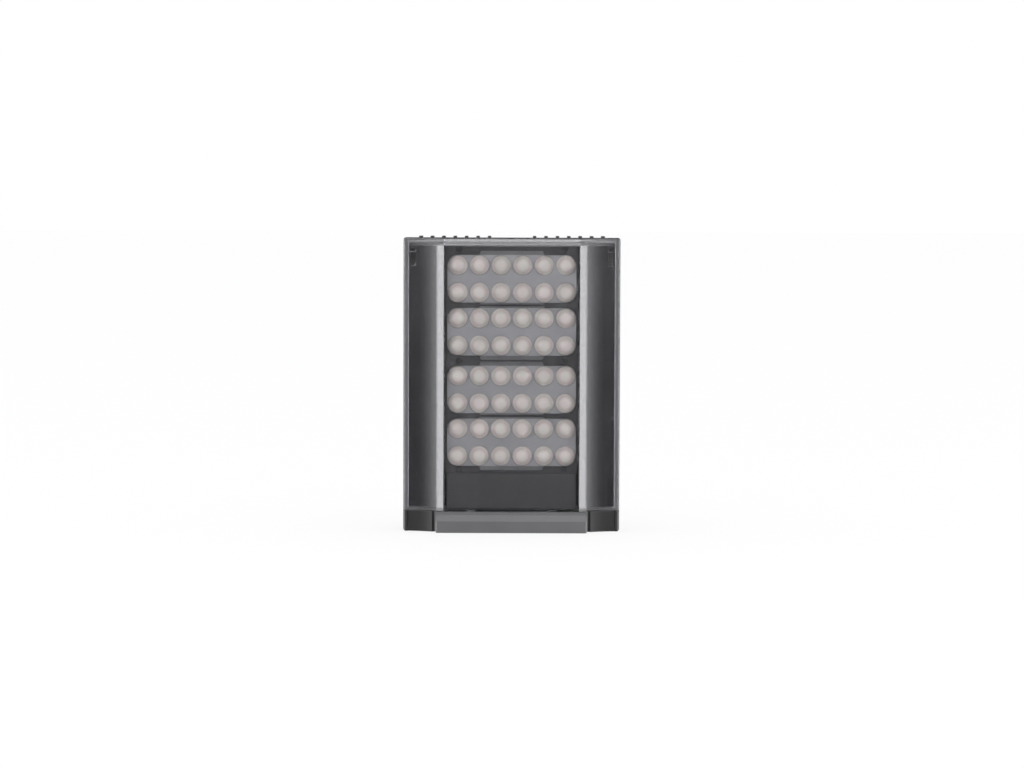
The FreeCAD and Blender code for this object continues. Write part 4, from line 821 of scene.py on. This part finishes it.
def ribs_on(name, count, radius, start, long):
    """Ribs round a node that lies along Y, from a distance behind its front end, in mm."""
    low, high = solids_of(name)[0]
    profile = [(0, 0), (RIB_HALF * 0.6, 0), (RIB_HALF, RIB_ROUND), (RIB_HALF, long - RIB_ROUND),
               (RIB_HALF * 0.6, long), (0, long)]
    master = bpy.data.objects.new(f"{name}_rib", turned_shape(f"{name}_rib", profile, 10))
    place = ((low.x + high.x) / 2, low.y + start * MM, (low.z + high.z) / 2)
    ribs = run_tree(f"{name}_ribs", point_cloud([]), ribs_tree, black_hard, {
        "Rib": master, "Count": count, "Radius": radius * MM, "Facing": REAR_FACING,
        "Place": place})
    settle(ribs, "lamp", "black_plastic")


VENT_CAP = 4.1
low, high = solids_of("pressure_vent")[0]
ribs_on("gland_nut", count=28, radius=10.4, start=0.4, long=8.0)
ribs_on("pressure_vent", count=24, radius=7.9, start=(high.y - low.y) / MM - VENT_CAP, long=3.7)

# %% [markdown]
# ## Tilt bolt and nut
# A hexagon head is cut from a turned blank, so its corners carry small arcs where the chamfer
# meets the flats. Here the blank is turned first, and the hexagon is what both shapes share.
# The bolt's end shows past its nut, so it gets a real thread: a ridge swept along a spiral.

# %% Tree for a chamfered hexagon
hex_tree, ins, outs = geometry_tree("Chamfered hexagon", {
    "Finish": ("Material", None), "Flats": ("Float", 0.0065), "High": ("Float", 0.1)})
corner = reckon(hex_tree, "MULTIPLY", ins.outputs["Flats"], 2 / math.sqrt(3))
flats = add(hex_tree, "GeometryNodeMeshCylinder", Vertices=6, Radius=corner,
            Depth=ins.outputs["High"])
shared = carve(hex_tree, "INTERSECT", ins.outputs["Geometry"], [flats.outputs["Mesh"]])
finished_with(hex_tree, shared, ins, outs)

# %% Tree for a thread on a shank
thread_tree, ins, outs = geometry_tree("Thread on a shank", {
    "Head": ("Object", None), "Finish": ("Material", None), "Radius": ("Float", 0.0035),
    "Pitch": ("Float", 0.00125), "Low": ("Float", 0.0), "Long": ("Float", 0.003),
    "Ridge": ("Float", 0.0005)})
turns = reckon(thread_tree, "DIVIDE", ins.outputs["Long"], ins.outputs["Pitch"])
spiral = add(thread_tree, "GeometryNodeCurveSpiral", Resolution=32, Rotations=turns,
             Start_Radius=ins.outputs["Radius"], End_Radius=ins.outputs["Radius"],
             Height=ins.outputs["Long"])
ridge = add(thread_tree, "GeometryNodeCurvePrimitiveCircle", Resolution=3,
            Radius=ins.outputs["Ridge"])
swept = add(thread_tree, "GeometryNodeCurveToMesh", Curve=spiral.outputs[0],
            Profile_Curve=ridge.outputs[0], Fill_Caps=True)
start = add(thread_tree, "ShaderNodeCombineXYZ", Z=ins.outputs["Low"])
moved = add(thread_tree, "GeometryNodeTransform", Geometry=swept.outputs[0],
            Translation=start.outputs[0])
head = add(thread_tree, "GeometryNodeObjectInfo", Object=ins.outputs["Head"])
joined = thread_tree.nodes.new("GeometryNodeJoinGeometry")
for source in (head.outputs["Geometry"], ins.outputs["Geometry"], moved.outputs[0]):
    wire(thread_tree, source, joined.inputs[0])
finished_with(thread_tree, joined.outputs[0], ins, outs)

# %% Blanks of the bolt's head and of the nut
FLATS = 6.5
BLANK_RADIUS = 7.6
FACE_RADIUS = 6.2
CHAMFER = 0.8
HEAD_HIGH = 5.3
BORE = 4.06
BORE_MOUTH = 4.7
BORE_CHAMFER = 0.6
low, high = solids_of("tilt_bolt")[0]
nut_low, nut_high = solids_of("tilt_nut")[0]
hinge = Vector((0, (low.y + high.y) / 2, (low.z + high.z) / 2))
tip, top = low.x / MM, high.x / MM
seat = top - HEAD_HIGH
nut_out, nut_in = nut_low.x / MM, nut_high.x / MM
head_blank = [(0, seat), (BLANK_RADIUS, seat), (BLANK_RADIUS, top - CHAMFER), (FACE_RADIUS, top),
              (0, top)]
nut_blank = [(BORE_MOUTH, nut_out), (FACE_RADIUS, nut_out), (BLANK_RADIUS, nut_out + CHAMFER),
             (BLANK_RADIUS, nut_in - CHAMFER), (FACE_RADIUS, nut_in), (BORE_MOUTH, nut_in),
             (BORE, nut_in - BORE_CHAMFER), (BORE, nut_out + BORE_CHAMFER)]
print("bolt from", round(tip, 1), "to", round(top, 1), "nut from", round(nut_out, 1))

# %% Bolt and nut on the hinge
SHANK = 4.0
THREAD_CORE = 3.5
THREAD_START = 0.8
THREAD_LONG = 3.2
CORE_IN_NUT = 1.0
CORE_STEP = 0.5
HEAD_SINK = 0.1


def hexagon(name, profile):
    """A turned blank with six flats."""
    blank = turned_shape(name, profile, 48)
    return run_tree(name, blank, hex_tree, zinc_steel, {"Flats": FLATS * MM})


def on_hinge(piece, replaced):
    """Lay a shape that was made along Z onto the hinge's line and settle it."""
    piece.data.transform(Matrix.Translation(hinge) @ Matrix.Rotation(math.pi / 2, 4, "Y"))
    settle(piece, "lamp", "steel", replaced)


shank = turned_shape("shank", [
    (0, tip), (THREAD_CORE - TIP_CHAMFER, tip), (THREAD_CORE, tip + TIP_CHAMFER),
    (THREAD_CORE, nut_out + CORE_IN_NUT), (SHANK, nut_out + CORE_IN_NUT + CORE_STEP),
    (SHANK, seat + HEAD_SINK), (0, seat + HEAD_SINK)], 40)
bolt = run_tree("tilt_bolt_threaded", shank, thread_tree, zinc_steel, {
    "Head": hexagon("head", head_blank), "Low": (tip + THREAD_START) * MM,
    "Long": THREAD_LONG * MM})
on_hinge(bolt, "tilt_bolt")
on_hinge(hexagon("tilt_nut_chamfered", nut_blank), "tilt_nut")

# %% [markdown]
# ## Light and floor
# The world does most of the lighting, and two long strips in front light the domes from both
# sides. The floor and the background are white to the camera.

# %% Front strips
STRIP_TURN = 30
STRIP_RISE = 8
STRIP_AWAY = 4.0
STRIP_WIDE = 4.4
STRIP_HIGH = 0.3
STRIP_RADIANCE = 8.5
LAMP_MIDDLE = Vector((0, 0, 0.147))


def strip(name, azimuth):
    """A long area lamp that looks at the lamp's middle; azimuth 0 is in front."""
    data = bpy.data.lights.new(name, "AREA")
    data.shape = "RECTANGLE"
    data.size = STRIP_WIDE
    data.size_y = STRIP_HIGH
    data.energy = STRIP_RADIANCE * math.pi * STRIP_WIDE * STRIP_HIGH
    data.cycles.use_multiple_importance_sampling = False
    lamp = bpy.data.objects.new(name, data)
    turn, rise = math.radians(azimuth), math.radians(STRIP_RISE)
    level = math.cos(rise)
    ray = Vector((math.sin(turn) * level, -math.cos(turn) * level, math.sin(rise)))
    lamp.location = LAMP_MIDDLE + ray * STRIP_AWAY
    lamp.rotation_euler = ray.to_track_quat("Z", "Y").to_euler()
    lamp.visible_camera = False
    bpy.context.scene.collection.objects.link(lamp)


strip("Front strip left", -STRIP_TURN)
strip("Front strip right", STRIP_TURN)

# %% [markdown]
# The room itself is the main light. Its walls are bright at the two sides, fairly bright above
# and below, and dim in front, as in a tent with side lamps. The scooped wings mirror that slow
# change, from a bright inner edge to a dark outer one. The flat window mirrors the dim front, so
# it looks dark and one sees into it.

# %% World
# Square of a direction's sideways part or the size of its upright part, and the level there
SIDE_STEPS = [(0.0, 0.008), (0.33, 0.014), (0.5, 0.045), (0.69, 0.12), (0.82, 0.22), (0.9, 0.38),
              (0.96, 0.6), (1.0, 0.8)]
STEEP_STEPS = [(0.1, 0.0), (0.3, 0.05), (0.5, 0.14), (0.87, 0.22), (1.0, 0.4)]
WORLD_PEAK = 5.0
BLUE_LEAN = 1.02

world = bpy.data.worlds.new("Studio")
bpy.context.scene.world = world
world.use_nodes = True
tree = world.node_tree
place = add(tree, "ShaderNodeTexCoord")
apart = add(tree, "ShaderNodeSeparateXYZ", Vector=place.outputs["Generated"])
sideways = reckon(tree, "MULTIPLY", apart.outputs["X"], apart.outputs["X"])
steep = reckon(tree, "ABSOLUTE", apart.outputs["Z"])
room = tree.nodes["Background"]
room.inputs["Strength"].default_value = WORLD_PEAK
side_light, steep_light = [
    ramp(tree, source, [(at, level, level, level * BLUE_LEAN) for at, level in steps])
    for source, steps in ((sideways, SIDE_STEPS), (steep, STEEP_STEPS))]
wire(tree, mix(tree, 1.0, side_light, steep_light, "ADD"), room.inputs["Color"])
white = add(tree, "ShaderNodeBackground", Color=(1, 1, 1, 1), Strength=1.0)
path = add(tree, "ShaderNodeLightPath")
choose(tree, path.outputs["Is Camera Ray"], room, white, "World Output")
print("world:", len(SIDE_STEPS), "side steps and", len(STEEP_STEPS), "steep steps")

# %% Floor
FLOOR_HALF = 14.0
FLOOR_DROP = 0.4 * MM
FLOOR_GLOW = 0.8
pale, tree, matt = new_material(
    "Pale floor", (0.8, 0.8, 0.8, 1), Base_Color=(0.86, 0.86, 0.86, 1), Roughness=0.8)
glow = add(tree, "ShaderNodeEmission", Strength=1.0)
path = add(tree, "ShaderNodeLightPath")
share = reckon(tree, "MULTIPLY", path.outputs["Is Camera Ray"], FLOOR_GLOW)
choose(tree, share, matt, glow, "Material Output")
floor_mesh = bpy.data.meshes.new("floor")
corners = [(-FLOOR_HALF, -FLOOR_HALF), (FLOOR_HALF, -FLOOR_HALF),
           (FLOOR_HALF, FLOOR_HALF * 3), (-FLOOR_HALF, FLOOR_HALF * 3)]
floor_mesh.from_pydata([(x, y, -FLOOR_DROP) for x, y in corners], [], [(0, 1, 2, 3)])
floor_mesh.materials.append(pale)
floor = bpy.data.objects.new("floor", floor_mesh)
bpy.context.scene.collection.objects.link(floor)
floor.visible_glossy = False
floor.visible_transmission = False
print("floor:", FLOOR_HALF * 2, "m wide")

# %% [markdown]
# ## Finish
# The view transform is Standard, so a colour renders about as it is written.

# %% View transform
bpy.context.scene.view_settings.view_transform = "Standard"
